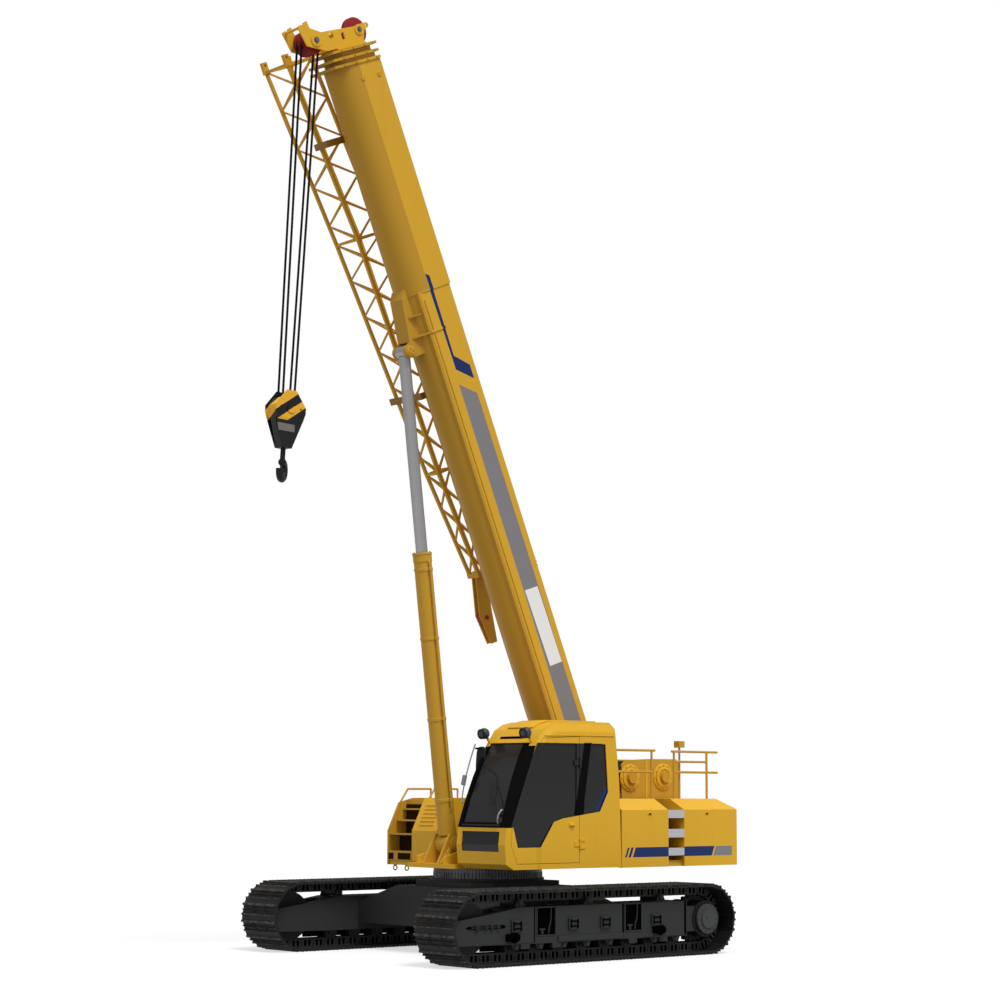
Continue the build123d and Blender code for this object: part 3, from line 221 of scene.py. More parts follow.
# crawler: sprocket and idler axles, and the middle of a track
AXLE_X, AXLE_Z = 1.9475, 0.4525
TRACK_Y = 1.815

# outlines in x and z on the cab's sides
DARK_SIDE = [(-0.656, 1.828), (-0.801, 2.084), (-0.701, 2.700), (0.425, 2.700), (0.914, 1.645), (0.865, 1.632)]
DARK_KNEE = [(0.100, 1.760), (0.366, 1.385), (0.750, 1.385), (0.830, 1.660)]
SCREEN_EDGE = [(0.865, 1.632), (0.45, 2.66), (0.62, 2.66), (1.10, 1.632)]
ROOF_EDGE = [(-2.0, 0.0), (-2.0, 2.905), (0.050, 2.905), (0.200, 2.868), (0.300, 2.800), (0.395, 2.690), (0.395, 0.0)]
FRONT_PILLAR = [(0.869, 1.636), (0.729, 2.108), (0.433, 2.679), (0.560, 2.690), (0.860, 2.108), (0.960, 1.650)]
REAR_PILLAR = [(-0.212, 1.775), (-0.380, 2.708), (-0.516, 2.709), (-0.370, 1.792)]
PAINT_ACCENT = [(-0.575, 1.835), (-0.656, 1.828), (-0.801, 2.084), (-0.765, 2.160)]
GLASS_ACCENT = [(-0.575, 1.825), (-0.70, 1.80), (-0.82, 2.084), (-0.765, 2.160)]

# ---- the crane's own finishes ----
YELLOW = srgb(222, 171, 40)
OCHRE = srgb(196, 149, 42)
# painted shade: the yellow as the boom's belly looks in shade
BELLY_PAINTED_SHADE = srgb(188, 141, 40)
# painted shade: yellow as it looks in shade, for the jib's stow brackets
BRACKET_PAINTED_SHADE = srgb(142, 102, 34)
BLUE = srgb(18, 40, 96)
STRIPE_GREY = srgb(128, 126, 130)
PLATE_WHITE = srgb(236, 236, 236)
SOOT = srgb(40, 34, 26)
TREAD_GREY = srgb(190, 190, 195)
BLACK = srgb(5, 5, 6)


def weathered(paint, dust=0.05):
    """What every painted piece has: slight unevenness, a fine orange-peel skin and thin runs of dirt."""
    paint.tint(paint.noise(1.3, 2.0), 0.03)
    paint.tint(paint.noise(14.0, 4.0), 0.018)
    runs = paint.noise(9.0, 3.0, stretch=(1.0, 1.0, 0.08)).step(0.56, 0.78)
    paint.over(runs * dust, SOOT)
    paint.rough(paint.noise(5.0, 3.0), 0.14)
    paint.bump(paint.noise(90.0, 2.0), 0.0012, 0.25)


def yellow_paint(name="crane_paint", marks=None, colour=YELLOW):
    paint = Finish(name, colour, 0.40, Specular_IOR_Level=0.25)
    weathered(paint)
    if marks:
        marks(paint)
    return paint.done()


def boom_marks(paint):
    """Painted shade on the belly, and a blue flash, a grey band and a bare white plate along both sides of the boom."""
    x, z = paint.x - PIVOT.x, paint.z - PIVOT.z
    run = x * math.cos(BOOM_ANGLE) + z * math.sin(BOOM_ANGLE)
    height = z * math.cos(BOOM_ANGLE) - x * math.sin(BOOM_ANGLE)
    side = paint.y.size().step(BOOM_HALF_Y - 0.006, BOOM_HALF_Y - 0.003)
    # painted shade: the belly darker than the sides, on the upper boom below its middle and on the lower boom below the
    # ledge
    paint.over(height.step(-0.008, -0.020) * run.step(7.10, 7.13), BELLY_PAINTED_SHADE)
    paint.over(height.step(-0.170, -0.200) * run.step(7.13, 7.10), BELLY_PAINTED_SHADE)
    for colour, corners in (
            (BLUE, [(7.325, -0.011), (7.282, 0.052), (6.181, 0.048), (6.002, 0.011)]),
            (BLUE, [(6.181, 0.048), (5.993, 0.265), (5.800, 0.268), (6.003, 0.006)]),
            (STRIPE_GREY, [(5.802, -0.018), (5.605, 0.242), (0.70, 0.262), (0.96, -0.018)]),
            (PLATE_WHITE, [(2.899, 0.003), (2.876, 0.236), (1.786, 0.250), (1.805, 0.030)])):
        paint.over(polygon_mask(run, height, corners) * side, colour)


def cabinet_marks(paint):
    """Blue stripe low on the cabinets, with two slashes ahead of it and a grey end."""
    low, high = 1.235, 1.362
    run = paint.x + (paint.z - low) * 0.42
    band = paint.z.between(low, high) * paint.y.size().step(1.45, 1.456)
    for colour, rear, front in ((BLUE, -2.708, -1.240), (BLUE, -1.205, -1.160), (BLUE, -1.130, -1.098)):
        paint.over(band * run.between(rear, front), colour)
    paint.over(band * run.step(-2.735, -2.742) * paint.x.step(-3.100, -3.096), STRIPE_GREY)


def cab_marks(paint):
    """Dark bands and pillars round the glass, a soft roof edge, and the blue accent behind the side window."""
    def inside(corners, edge=0.002):
        return polygon_mask(paint.x, paint.z, corners, edge)

    side = paint.y.step(1.395, 1.405).most(paint.y.step(0.575, 0.565))
    paint.over(inside(DARK_SIDE).most(inside(DARK_KNEE)) * side, srgb(34, 34, 35))
    paint.blacken(inside(SCREEN_EDGE) * paint.x.step(0.3, 0.32))
    paint.bump(inside(ROOF_EDGE, 0.075) * paint.y.step(1.440, 1.452), 0.060, 1.0)
    paint.blacken(inside(REAR_PILLAR) * side)
    paint.blacken(inside(FRONT_PILLAR) * side)
    paint.over(inside(PAINT_ACCENT) * side, BLUE)


def tread_marks(paint):
    """Light grey tread lips, with painted shade, a darker brown, in the recess between them."""
    top, middle, foot = (paint.z.between(low, high) for low, high in ((1.738, 1.843), (1.483, 1.594), (1.247, 1.345)))
    lips = top.most(middle).most(foot)
    # painted shade: darker brown on the steps' inner part, further in than y 1.39, left in the recess between the lips
    paint.over(paint.y.step(1.40, 1.39), srgb(150, 108, 30))
    paint.over(lips * paint.y.step(1.17, 1.19), TREAD_GREY)
    studs = paint.maker.add("TexVoronoi", {"Vector": paint.place, "Scale": 42.0, "Randomness": 0.0})
    paint.bump(studs.step(0.42, 0.25) * lips, 0.002, 0.6)


def block_marks(paint):
    """Black and yellow warning bands across the upper half of the hook block, over a bare grey plate."""
    x, z = paint.x - HEAD.x, paint.z - HEAD.z
    down = z * math.cos(LEAN) - x * math.sin(LEAN)
    across = x * math.cos(LEAN) + z * math.sin(LEAN)
    sideways = paint.y * 0.65 - across * 0.758
    slant = down - sideways * 0.977
    upper = slant.between(-4.740, -4.576)
    lower = slant.between(-4.990, -4.876) * down.step(-4.946, -4.942)
    paint.over(upper.most(lower), srgb(232, 174, 46))
    plate = sideways.between(-0.085, 0.130) * down.between(-5.080, -4.990)
    paint.over(plate * paint.y.size().step(0.075, 0.085), srgb(122, 116, 116))


def steel(name, colour, roughness=0.5, metallic=0.0, marks=None, cast=0.002, **constants):
    """Bare, cast or painted metal with a mottle; cast is how deep its grain is."""
    metal = Finish(name, colour, roughness, Metallic=metallic, **{"Specular_IOR_Level": 0.25, **constants})
    metal.tint(metal.noise(3.0, 4.0), 0.10)
    metal.tint(metal.noise(40.0, 3.0), 0.06)
    if marks:
        marks(metal)
    metal.rough(metal.noise(8.0, 3.0), 0.16)
    metal.bump(metal.noise(110.0, 3.0), cast, 0.35)
    return metal.done()


def shoe_wear_and_shade(metal):
    """Shoes browned by soil, with the grouser tips rubbed bright by their distance from the loop's middle, and painted
    shade, near black, on the shoes nearest the loop's middle.
    """
    past = (metal.x.size() - AXLE_X).most(0.0)
    rise = metal.z - AXLE_Z
    reach = metal.maker.maths("SQRT", past * past + rise * rise)
    soil = metal.noise(2.2, 5.0).step(0.50, 0.72)
    metal.over(soil * 0.35, srgb(64, 52, 40))
    metal.over(reach.step(0.440, 0.452) * metal.noise(20.0).step(0.35, 0.70) * 0.55, srgb(104, 102, 99))
    # painted shade: the shoes near black within 0.41 of the loop's middle, next to the links
    metal.over(reach.step(0.4125, 0.409), srgb(10, 10, 11))


def drive_flange(metal):
    """The flange behind the round cover is as dark as the beam."""
    metal.over(metal.y.size().step(2.100, 2.090), srgb(26, 26, 27))


def oiled_and_shaded_ring(metal):
    """Grease darkening low on the ring's teeth, and painted shade in fine lines between the teeth."""
    metal.over(metal.noise(6.0, 4.0).step(0.45, 0.70) * 0.5, srgb(58, 56, 54))
    # painted shade: dark lines between the ring's 108 teeth
    teeth = metal.maker.maths("SINE", metal.maker.maths("ARCTAN2", metal.y, metal.x) * 108.0)
    metal.over(teeth.step(-0.2, 0.5) * metal.z.between(0.972, 1.100) * 0.55, srgb(34, 34, 35))


def chrome_rod():
    """Ground rod: bright, with fine turned rings of film along it."""
    rod = Finish("ground_rod", srgb(158, 156, 156), 0.28, Metallic=0.6)
    rings = rod.maker.add("TexWave", {"Vector": rod.place, "Scale": 9.0, "Distortion": 0.3},
                          wave_type="BANDS", bands_direction="Z")
    rod.tint(rings, 0.04)
    rod.rough(rod.noise(30.0), 0.12)
    rod.bump(rings, 0.0006, 0.2)
    return rod.done()


def tinted_glass():
    """Grey glass with the pillars, the windscreen's edges and the blue accent printed dark on it."""
    glass = Finish("tinted_glass", srgb(37, 37, 38), 0.14, Alpha=0.94, Specular_IOR_Level=0.22)
    glass.tint(glass.noise(1.5), 0.08)
    glass.rough(glass.noise(6.0), 0.04)
    outer = glass.y.step(1.40, 1.41)
    front = glass.x.step(0.2, 0.22)
    glass.over(polygon_mask(glass.x, glass.z, GLASS_ACCENT) * outer, BLUE)
    glass.blacken(polygon_mask(glass.x, glass.z, REAR_PILLAR) * outer)
    edge = glass.y + (glass.z - 1.66) * 0.12
    glass.blacken(edge.step(1.328, 1.334) * front * glass.z.step(1.62, 1.63) * glass.y.step(1.41, 1.40))
    glass.blacken(glass.y.step(0.605, 0.598) * front * glass.y.step(0.565, 0.570))
    return glass.done()


def rope_wire():
    """Dark greased wire with its lay across it."""
    rope = Finish("laid_wire", srgb(13, 13, 14), 0.7, Specular_IOR_Level=0.15)
    lay = rope.maker.add("TexWave", {"Vector": rope.place, "Scale": 22.0, "Distortion": 1.0},
                         wave_type="BANDS", bands_direction="DIAGONAL")
    rope.tint(lay, 0.3)
    rope.bump(lay, 0.0008, 0.4)
    return rope.done()


def seat_cloth():
    """Woven cloth of the operator's seat, with its threads as bump and a darker mottle."""
    cloth = Finish("seat_weave", srgb(44, 45, 49), 0.88, Sheen_Weight=0.3)
    warp, weft = (cloth.maker.add("TexWave", {"Vector": cloth.place, "Scale": 90.0, "Distortion": 0.6},
                                  wave_type="BANDS", bands_direction=way) for way in ("X", "Z"))
    cloth.tint(warp * weft, 0.18)
    cloth.tint(cloth.noise(12.0, 4.0), 0.10)
    cloth.rough(cloth.noise(20.0), 0.08)
    cloth.bump(warp.most(weft), 0.001, 0.5)
    return cloth.done()


def rubber(name, colour, scale=60.0):
    piece = Finish(name, colour, 0.9, Specular_IOR_Level=0.0)
    piece.tint(piece.noise(8.0, 4.0), 0.12)
    piece.rough(piece.noise(14.0), 0.1)
    piece.bump(piece.noise(scale, 3.0), 0.001, 0.4)
    return piece.done()


def pole_paint(metal):
    """The flashing lamp's pole is painted as the rails are, and the work lamps' brackets as the cab is."""
    metal.over(metal.x.step(-2.0, -2.1), OCHRE)
    metal.over(metal.x.step(0.0, 0.1) * metal.z.step(2.757, 2.753), YELLOW)


def lamp_lens():
    """Ribbed lens, the cells of which catch the light through their bump, with painted light across each cell as well.
    """
    lens = Finish("lamp_lens", srgb(150, 155, 160), 0.12, Coat_Weight=0.5)
    cells = lens.maker.add("TexVoronoi", {"Vector": lens.place, "Scale": 60.0, "Randomness": 0.0})
    # painted light: each cell darker at its middle and lighter towards its edge
    lens.tint(cells, 0.15)
    lens.bump(cells, 0.002, 0.5)
    lens.rough(lens.noise(30.0), 0.05)
    return lens.done()


FINISH = {
    "crane_yellow": yellow_paint(),
    "crawler_grey": steel("crawler_casting", srgb(42, 43, 43), 0.55),
    "ring_steel": steel("ring_steel", srgb(112, 114, 118), 0.42, 0.5, marks=oiled_and_shaded_ring),
    "chrome_rod": chrome_rod(),
    "cab_glass": tinted_glass(),
    "black_trim": steel("black_trim", srgb(14, 14, 15), 0.42, cast=0.0008),
    "sheave_red": steel("sheave_red", srgb(150, 38, 44), 0.45, cast=0.0008),
    "wire_rope": rope_wire(),
    "seat_cloth": seat_cloth(),
    "pin_steel": steel("pin_steel", srgb(124, 124, 126), 0.35, 0.7),
    "lamp_grey": steel("lamp_grey", srgb(58, 62, 68), 0.28, cast=0.0005, Coat_Weight=0.4),
}
SHOES = steel("track_shoes", srgb(27, 27, 28), 0.6, marks=shoe_wear_and_shade)
# painted light: the link faces lie in the shoes' shadow, so they get a lighter grey than the crawler's casting to look
# lit
LINK_STEEL_PAINTED_LIGHT = steel("link_steel_painted_light", srgb(62, 62, 62), 0.6)
COVER = steel("drive_cover", srgb(62, 63, 64), 0.5, marks=drive_flange)
# black for the beams' grips, seams and hubs, the roof vent and the hood grilles, and painted shade in the links'
# windows and the beams' hollows
DARK = rubber("dark_trim_and_painted_shade", BLACK)
# painted shade: dark brown for the hollows of the ladder bay
HOLLOW_PAINTED_SHADE = rubber("hollow_painted_shade", srgb(44, 31, 12))
LENS_GLASS = lamp_lens()
AMBER = steel("amber_lens", srgb(214, 96, 24), 0.2, cast=0.0004, Coat_Weight=0.5)
RED_LENS = steel("red_lens", srgb(160, 24, 22), 0.2, cast=0.0004, Coat_Weight=0.5)
GROUND_STEEL = steel("ground_steel", srgb(150, 150, 152), 0.34, 0.7, cast=0.0006)
OCHRE_PAINT = yellow_paint("ochre_paint", colour=OCHRE)
MARKED = {
    "boom_base_section": yellow_paint("boom_paint", boom_marks, srgb(214, 164, 42)),
    "boom_section_2": OCHRE_PAINT,
    "boom_section_3": OCHRE_PAINT,
    "left_cabinets": yellow_paint("cabinet_paint", cabinet_marks),
    "engine_hood": yellow_paint("hood_paint", cabinet_marks),
    "cab_door": yellow_paint("door_paint", cab_marks),
    "cab_shell": yellow_paint("cab_paint", cab_marks),
    "side_steps": yellow_paint("step_paint", tread_marks),
    "luffing_barrel": OCHRE_PAINT,
    "jib_lattice": yellow_paint("lattice_paint", colour=srgb(208, 156, 41)),
    "handrails": OCHRE_PAINT,
    "winch_frame": OCHRE_PAINT,
    "ladder_bay": OCHRE_PAINT,
    "final_drives": COVER,
    "cylinder_foot_bracket": OCHRE_PAINT,
    # painted shade: the stow brackets are yellow, drawn darker brown as they look in shade
    "jib_brackets": yellow_paint("stow_bracket_painted_shade", colour=BRACKET_PAINTED_SHADE),
    "work_lamps": steel("lamp_paint", srgb(62, 67, 74), 0.28, marks=pole_paint, cast=0.0005),
    "hook_block": steel("block_paint", srgb(20, 20, 21), 0.4, marks=block_marks, cast=0.0008),
    "left_track": SHOES,
    "right_track": SHOES,
}

node_slot = {node: row["slot"] for row in frame["record"]["materials"] for node in row.get("nodes", [])}
for name, node in frame["nodes"].items():
    slot = node_slot.get(name) or node.data.materials[0].name
    finish = MARKED.get(name) or FINISH.get(slot, FINISH["crane_yellow"])
    node.data.materials.clear()
    node.data.materials.append(finish)

# ---- building a piece ----
MIRROR_Y = Matrix.Scale(-1.0, 4, (0, 1, 0))
BOTH = (Matrix(), MIRROR_Y)


def along(at, direction):
    """Stands a shape drawn about z at a place, pointing along a direction."""
    return Matrix.Translation(at) @ Vector(direction).to_track_quat("Z", "Y").to_matrix().to_4x4()


def leftwards(x, y, z):
    """Stands a shape drawn about z at a place on the left side, pointing outwards."""
    return along((x, y, z), LEFT)


def lifted(height):
    """A step along a place's own z."""
    return Matrix.Translation((0, 0, height))


def side_on(y):
    """Lays a flat shape upright in x and z, its thickness going inwards from y."""
    return Matrix(((1, 0, 0, 0), (0, 0, -1, y), (0, 1, 0, 0), (0, 0, 0, 1)))


def mirrored(*places):
    """The places, and then their mirror images on the right side."""
    return [turn @ place for turn in BOTH for place in places]


def ring_of(count, radius, place):
    """Places round a circle about a place's own z."""
    return [place @ Matrix.Rotation(2 * math.pi * i / count, 4, "Z") @ Matrix.Translation((radius, 0, 0))
            for i in range(count)]


class Build:
    """A piece in the making: bmesh shapes gathered into one mesh. Each shape goes to all the places given."""

    def __init__(self):
        self.whole = bmesh.new()

    def take(self, part, places, bevel=0.0, segments=2):
        """Adds a finished shape, with its edges bevelled, at each of the places."""
        if bevel:
            bmesh.ops.bevel(part, geom=part.edges[:], offset=bevel, segments=segments, affect="EDGES",
                            profile=0.5, material=-1)
        bmesh.ops.recalc_face_normals(part, faces=part.faces)
        mesh = bpy.data.meshes.new("part")
        for place in places or (Matrix(),):
            copy = part.copy()
            bmesh.ops.transform(copy, matrix=place, verts=copy.verts)
            if place.determinant() < 0:
                bmesh.ops.reverse_faces(copy, faces=copy.faces)
            copy.to_mesh(mesh)
            copy.free()
            self.whole.from_mesh(mesh)
        part.free()
        bpy.data.meshes.remove(mesh)

    def block(self, low, high, *places, bevel=0.004, segments=1):
        """A box between two corners."""
        part = bmesh.new()
        low, high = Vector(low), Vector(high)
        bmesh.ops.create_cube(part, size=1.0)
        bmesh.ops.scale(part, vec=high - low, verts=part.verts)
        bmesh.ops.translate(part, vec=(low + high) / 2, verts=part.verts)
        self.take(part, places, bevel, segments)

    def slab(self, corners, depth, *places, bevel=0.003, segments=1):
        """A flat outline given thickness along its z."""
        part = bmesh.new()
        face = part.faces.new([part.verts.new((x, y, 0.0)) for x, y in corners])
        grown = bmesh.ops.extrude_face_region(part, geom=[face])
        moved = [thing for thing in grown["geom"] if isinstance(thing, bmesh.types.BMVert)]
        bmesh.ops.translate(part, vec=(0, 0, depth), verts=moved)
        self.take(part, places, bevel, segments)

    def turned(self, profile, *places, steps=24):
        """A shape turned about z from (radius, height) points. An end on the axis closes it."""
        part = bmesh.new()
        line = [part.verts.new((radius, 0.0, height)) for radius, height in profile]
        edges = [part.edges.new(pair) for pair in zip(line, line[1:])]
        bmesh.ops.spin(part, geom=line + edges, cent=(0, 0, 0), axis=(0, 0, 1), dvec=(0, 0, 0),
                       angle=2 * math.pi, steps=steps, use_merge=True)
        bmesh.ops.remove_doubles(part, verts=part.verts, dist=1e-6)
        self.take(part, places)

    def disc(self, radius, height, *places, steps=20, chamfer=0.003):
        self.turned([(0, 0), (radius, 0), (radius, height - chamfer), (radius - chamfer, height), (0, height)],
                    *places, steps=steps)

    def collar(self, inner, outer, height, *places, steps=28, chamfer=0.003):
        self.turned([(inner, 0), (outer, 0), (outer, height - chamfer), (outer - chamfer, height),
                     (inner, height), (inner, 0)], *places, steps=steps)

    def bolts(self, radius, places):
        """Hexagon heads on thin washers."""
        for segments, wide, narrow, depth, rise in ((6, 1.0, 0.94, 1.0, 0.7), (12, 1.35, 1.3, 0.25, 0.1)):
            part = bmesh.new()
            bmesh.ops.create_cone(part, segments=segments, radius1=radius * wide, radius2=radius * narrow,
                                  depth=radius * depth, cap_ends=True)
            bmesh.ops.translate(part, vec=(0, 0, radius * rise), verts=part.verts)
            self.take(part, places)

    def pipe(self, points, radius, *places, order=3, sides=3):
        """A round bar or pipe through points. Order 2 keeps its corners sharp."""
        curve = bpy.data.curves.new("path", "CURVE")
        curve.dimensions = "3D"
        curve.bevel_depth = radius
        curve.bevel_resolution = sides
        curve.use_fill_caps = True
        curve.resolution_u = 6
        spline = curve.splines.new("NURBS")
        spline.points.add(len(points) - 1)
        for point, at in zip(spline.points, points):
            point.co = (*at, 1.0)
        spline.order_u = order
        spline.use_endpoint_u = True
        holder = bpy.data.objects.new("path", curve)
        mesh = bpy.data.meshes.new_from_object(holder)
        part = bmesh.new()
        part.from_mesh(mesh)
        bmesh.ops.remove_doubles(part, verts=part.verts, dist=1e-6)
        bpy.data.objects.remove(holder)
        bpy.data.curves.remove(curve)
        bpy.data.meshes.remove(mesh)
        self.take(part, places)

    def piece(self, name, body, slot, finish=None, crease=35):
        """Ends the piece: one object that rides a body, in its slot's finish unless another is named."""
        mesh = bpy.data.meshes.new(name)
        self.whole.to_mesh(mesh)
        self.whole.free()
        mesh.shade_smooth()
        mesh.set_sharp_from_angle(angle=math.radians(crease))
        mesh.materials.append(finish or FINISH[slot])
        thing = bpy.data.objects.new(name, mesh)
        bpy.context.scene.collection.objects.link(thing)
        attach(thing, body)
        return thing


# ---- tracks ----
PIN_LINE_R = 0.37125
SHOE_COUNT = 54
LOOP = 4 * AXLE_X + 2 * math.pi * PIN_LINE_R
PITCH = LOOP / SHOE_COUNT
# the bars that frame the two windows in a link's face: x and z of two corners
LINK_BARS = ((-0.091, -0.070, 0.091, -0.050), (-0.091, 0.031, 0.091, 0.040), (-0.091, -0.050, -0.054, 0.031),
             (-0.014, -0.050, 0.014, 0.031), (0.054, -0.050, 0.091, 0.031))


def loop_place(run):
    """Where the pin line is after a run along it: x along it and z outwards."""
    run, straight, turn = run % LOOP, 2 * AXLE_X, math.pi * PIN_LINE_R
    if run < straight:
        x, z, angle = AXLE_X - run, AXLE_Z - PIN_LINE_R, -math.pi / 2
    elif run < straight + turn:
        angle = -math.pi / 2 - (run - straight) / PIN_LINE_R
        x, z = -AXLE_X + PIN_LINE_R * math.cos(angle), AXLE_Z + PIN_LINE_R * math.sin(angle)
    elif run < 2 * straight + turn:
        x, z, angle = -AXLE_X + run - straight - turn, AXLE_Z + PIN_LINE_R, math.pi / 2
    else:
        angle = math.pi / 2 - (run - 2 * straight - turn) / PIN_LINE_R
        x, z = AXLE_X + PIN_LINE_R * math.cos(angle), AXLE_Z + PIN_LINE_R * math.sin(angle)
    out_x, out_z = math.cos(angle), math.sin(angle)
    return Matrix(((out_z, 0, out_x, x), (0, 1, 0, 0), (-out_x, 0, out_z, z), (0, 0, 0, 1)))


LINKS = [loop_place((index + 0.5) * PITCH) for index in range(SHOE_COUNT)]
PINS = [loop_place(index * PITCH) for index in range(SHOE_COUNT)]
for side, y in (("left", TRACK_Y), ("right", -TRACK_Y)):
    row = Matrix.Translation((0, y, 0))
    faces = (Matrix.Translation((0, 0.1, 0)), Matrix.Translation((0, -0.1, 0)) @ MIRROR_Y)
    spots = [row @ place @ face for place in LINKS for face in faces]
    links = Build()
    for x0, z0, x1, z1 in LINK_BARS:
        links.block((x0, -0.002, z0), (x1, 0.008, z1), *spots, bevel=0)
    links.piece(side + "_link_faces", "carbody", "crawler_grey", LINK_STEEL_PAINTED_LIGHT)
    # painted shade: a black sheet in each window of the link faces, where the inside of the track is in shade
    windows = Build()
    windows.block((-0.058, -0.001, -0.054), (0.058, 0.002, 0.035), *spots, bevel=0)
    windows.piece(side + "_link_window_shade", "carbody", "black_trim", DARK)
    heads = Build()
    heads.disc(0.021, 0.017, *[row @ place @ along((0, off, 0), (0, off, 0)) for place in PINS
                               for off in (0.099, -0.099)], steps=10)
    heads.bolts(0.011, [row @ place @ Matrix.Translation((x, off, 0.0538)) for place in LINKS
                        for x in (-0.030, 0.030) for off in (-0.155, -0.105, 0.105, 0.155)])
    heads.piece(side + "_pins_and_shoe_bolts", "carbody", "crawler_grey")

# ---- crawler beams ----
BEAM_Y = 2.060
POCKETS = ((0.664, 0.957), (-0.802, -0.527))
GRIP_PLATES = (1.300, 0.367, -0.173, -1.060)
HUBS = ((1.330, 0.335), (-1.140, 0.340))
HUB_R = 0.050
SEAMS = ((1.003, 0.007), (-0.485, 0.013), (-1.590, 0.016))

beam, grips, hubs = Build(), Build(), Build()
for x in GRIP_PLATES:
    beam.block((x - 0.085, BEAM_Y - 0.004, 0.395), (x + 0.085, BEAM_Y + 0.028, 0.545), *BOTH)
    for rise in (-0.030, 0.030):
        z = 0.470 + rise
        grips.block((x - 0.068, BEAM_Y + 0.026, z - 0.009), (x + 0.068, BEAM_Y + 0.040, z + 0.009), *BOTH, bevel=0.003)
    for end in (x - 0.058, x + 0.058):
        grips.block((end - 0.011, BEAM_Y + 0.026, 0.412), (end + 0.011, BEAM_Y + 0.034, 0.528), *BOTH, bevel=0.002)
for x, z in HUBS:
    spot = leftwards(x, BEAM_Y - 0.002, z)
    hubs.turned([(0, 0), (HUB_R + 0.020, 0), (HUB_R + 0.020, 0.010), (HUB_R + 0.004, 0.014), (HUB_R, 0.020),
                 (HUB_R, 0.062), (HUB_R - 0.010, 0.070), (0, 0.070)], *mirrored(spot))
    hubs.block((x - 0.02, BEAM_Y - 0.004, z - 0.045), (x + 0.14, BEAM_Y + 0.05, z + 0.045), *BOTH,
               bevel=0.010, segments=2)
    hubs.bolts(0.010, mirrored(*ring_of(8, HUB_R + 0.010, spot @ lifted(0.009))))
for x, half in SEAMS:
    grips.block((x - half, BEAM_Y - 0.002, 0.262), (x + half, BEAM_Y + 0.003, 0.684), *BOTH, bevel=0)
beam.slab([(2.282, 0.262), (2.282, 0.560), (2.262, 0.575), (2.262, 0.250)], 0.010, *mirrored(side_on(BEAM_Y + 0.008)),
          bevel=0.002)
for low, high in POCKETS:
    for x0, x1, z0, z1 in ((low - 0.016, low, 0.334, 0.690), (high, high + 0.016, 0.334, 0.690),
                           (low, high, 0.334, 0.350)):
        beam.block((x0, BEAM_Y - 0.02, z0), (x1, BEAM_Y + 0.007, z1), *BOTH, bevel=0.002)
for index in range(8):
    # bearing blocks of the bottom rollers
    x = 1.28 - 0.39 * index
    beam.slab([(x - 0.075, 0.252), (x - 0.060, 0.222), (x - 0.040, 0.176), (x + 0.040, 0.176), (x + 0.060, 0.222),
               (x + 0.075, 0.252)], 0.050, *mirrored(side_on(2.036)), bevel=0.004)
    beam.disc(0.030, 0.016, *mirrored(leftwards(x, 2.034, 0.212)), steps=16)
    beam.bolts(0.011, mirrored(*[along((x + end, 2.020, 0.250), (0, 0, -1)) for end in (-0.062, 0.062)]))
for x in (1.180, 0.040, -1.217):
    # brackets of the carrier rollers
    beam.slab([(x - 0.085, 0.688), (x - 0.035, 0.790), (x + 0.035, 0.790), (x + 0.085, 0.688)], 0.030,
              *mirrored(side_on(2.000)), bevel=0.004)
    beam.disc(0.034, 0.018, *mirrored(leftwards(x, 1.998, 0.742)), steps=16)
for x0, x1 in ((1.03, 2.24), (-0.46, 0.62), (-1.58, -0.84)):
    beam.block((x0, BEAM_Y - 0.003, 0.258), (x1, BEAM_Y + 0.006, 0.274), *BOTH, bevel=0.002)
beam.piece("beam_fittings", "carbody", "crawler_grey")
grips.piece("beam_grips_and_seams", "carbody", "black_trim", DARK)
hubs.piece("beam_hubs", "carbody", "black_trim", DARK)

# painted shade: black sheets in the beam's slot and at the backs of its pockets, and a black strip behind the bottom
# rollers in place of the shade between them
hollows = Build()
hollows.slab([(2.06, 0.452), (2.10, 0.470), (2.06, 0.488), (1.50, 0.492), (1.46, 0.472), (1.50, 0.448)], 0.006,
             *mirrored(side_on(BEAM_Y + 0.003)), bevel=0.002)
for low, high in POCKETS:
    hollows.block((low + 0.002, 2.040, 0.352), (high - 0.002, 2.050, 0.688), *BOTH, bevel=0)
hollows.block((-1.66, 1.795, 0.165), (1.66, 1.835, 0.262), *BOTH, bevel=0)
hollows.piece("beam_painted_shade", "carbody", "black_trim", DARK)

valves, tees = Build(), Build()
for x, radius in ((1.93, 0.034), (1.79, 0.026), (1.70, 0.030), (1.60, 0.024)):
    valves.disc(radius, 0.030, *mirrored(leftwards(x, BEAM_Y + 0.002, 0.470)), steps=14)
valves.pipe([(1.56, BEAM_Y + 0.010, 0.470), (2.02, BEAM_Y + 0.010, 0.470)], 0.012, *BOTH, order=2)
for low, high in POCKETS:
    x = high - 0.090
    tees.block((x - 0.045, 2.046, 0.405), (x + 0.045, 2.058, 0.425), *BOTH)
    tees.block((x - 0.016, 2.046, 0.352), (x + 0.016, 2.056, 0.410), *BOTH)
    tees.pipe([(low + 0.06, 2.052, 0.68), (low + 0.06, 2.052, 0.50), (low + 0.10, 2.052, 0.44),
               (low + 0.10, 2.052, 0.36)], 0.008, *BOTH)
tees.piece("pocket_valves", "carbody", "crawler_grey")
valves.piece("tension_valves_and_hoses", "carbody", "black_trim")

drive = Build()
for radius, count, y, size in ((0.211, 20, 2.069, 0.011), (0.165, 14, 2.119, 0.009)):
    drive.bolts(size, mirrored(*ring_of(count, radius, leftwards(-AXLE_X, y, AXLE_Z))))
drive.disc(0.020, 0.010, *mirrored(leftwards(-AXLE_X + 0.03, 2.137, AXLE_Z + 0.03)), steps=12)
drive.piece("final_drive_bolts", "carbody", "crawler_grey", COVER)

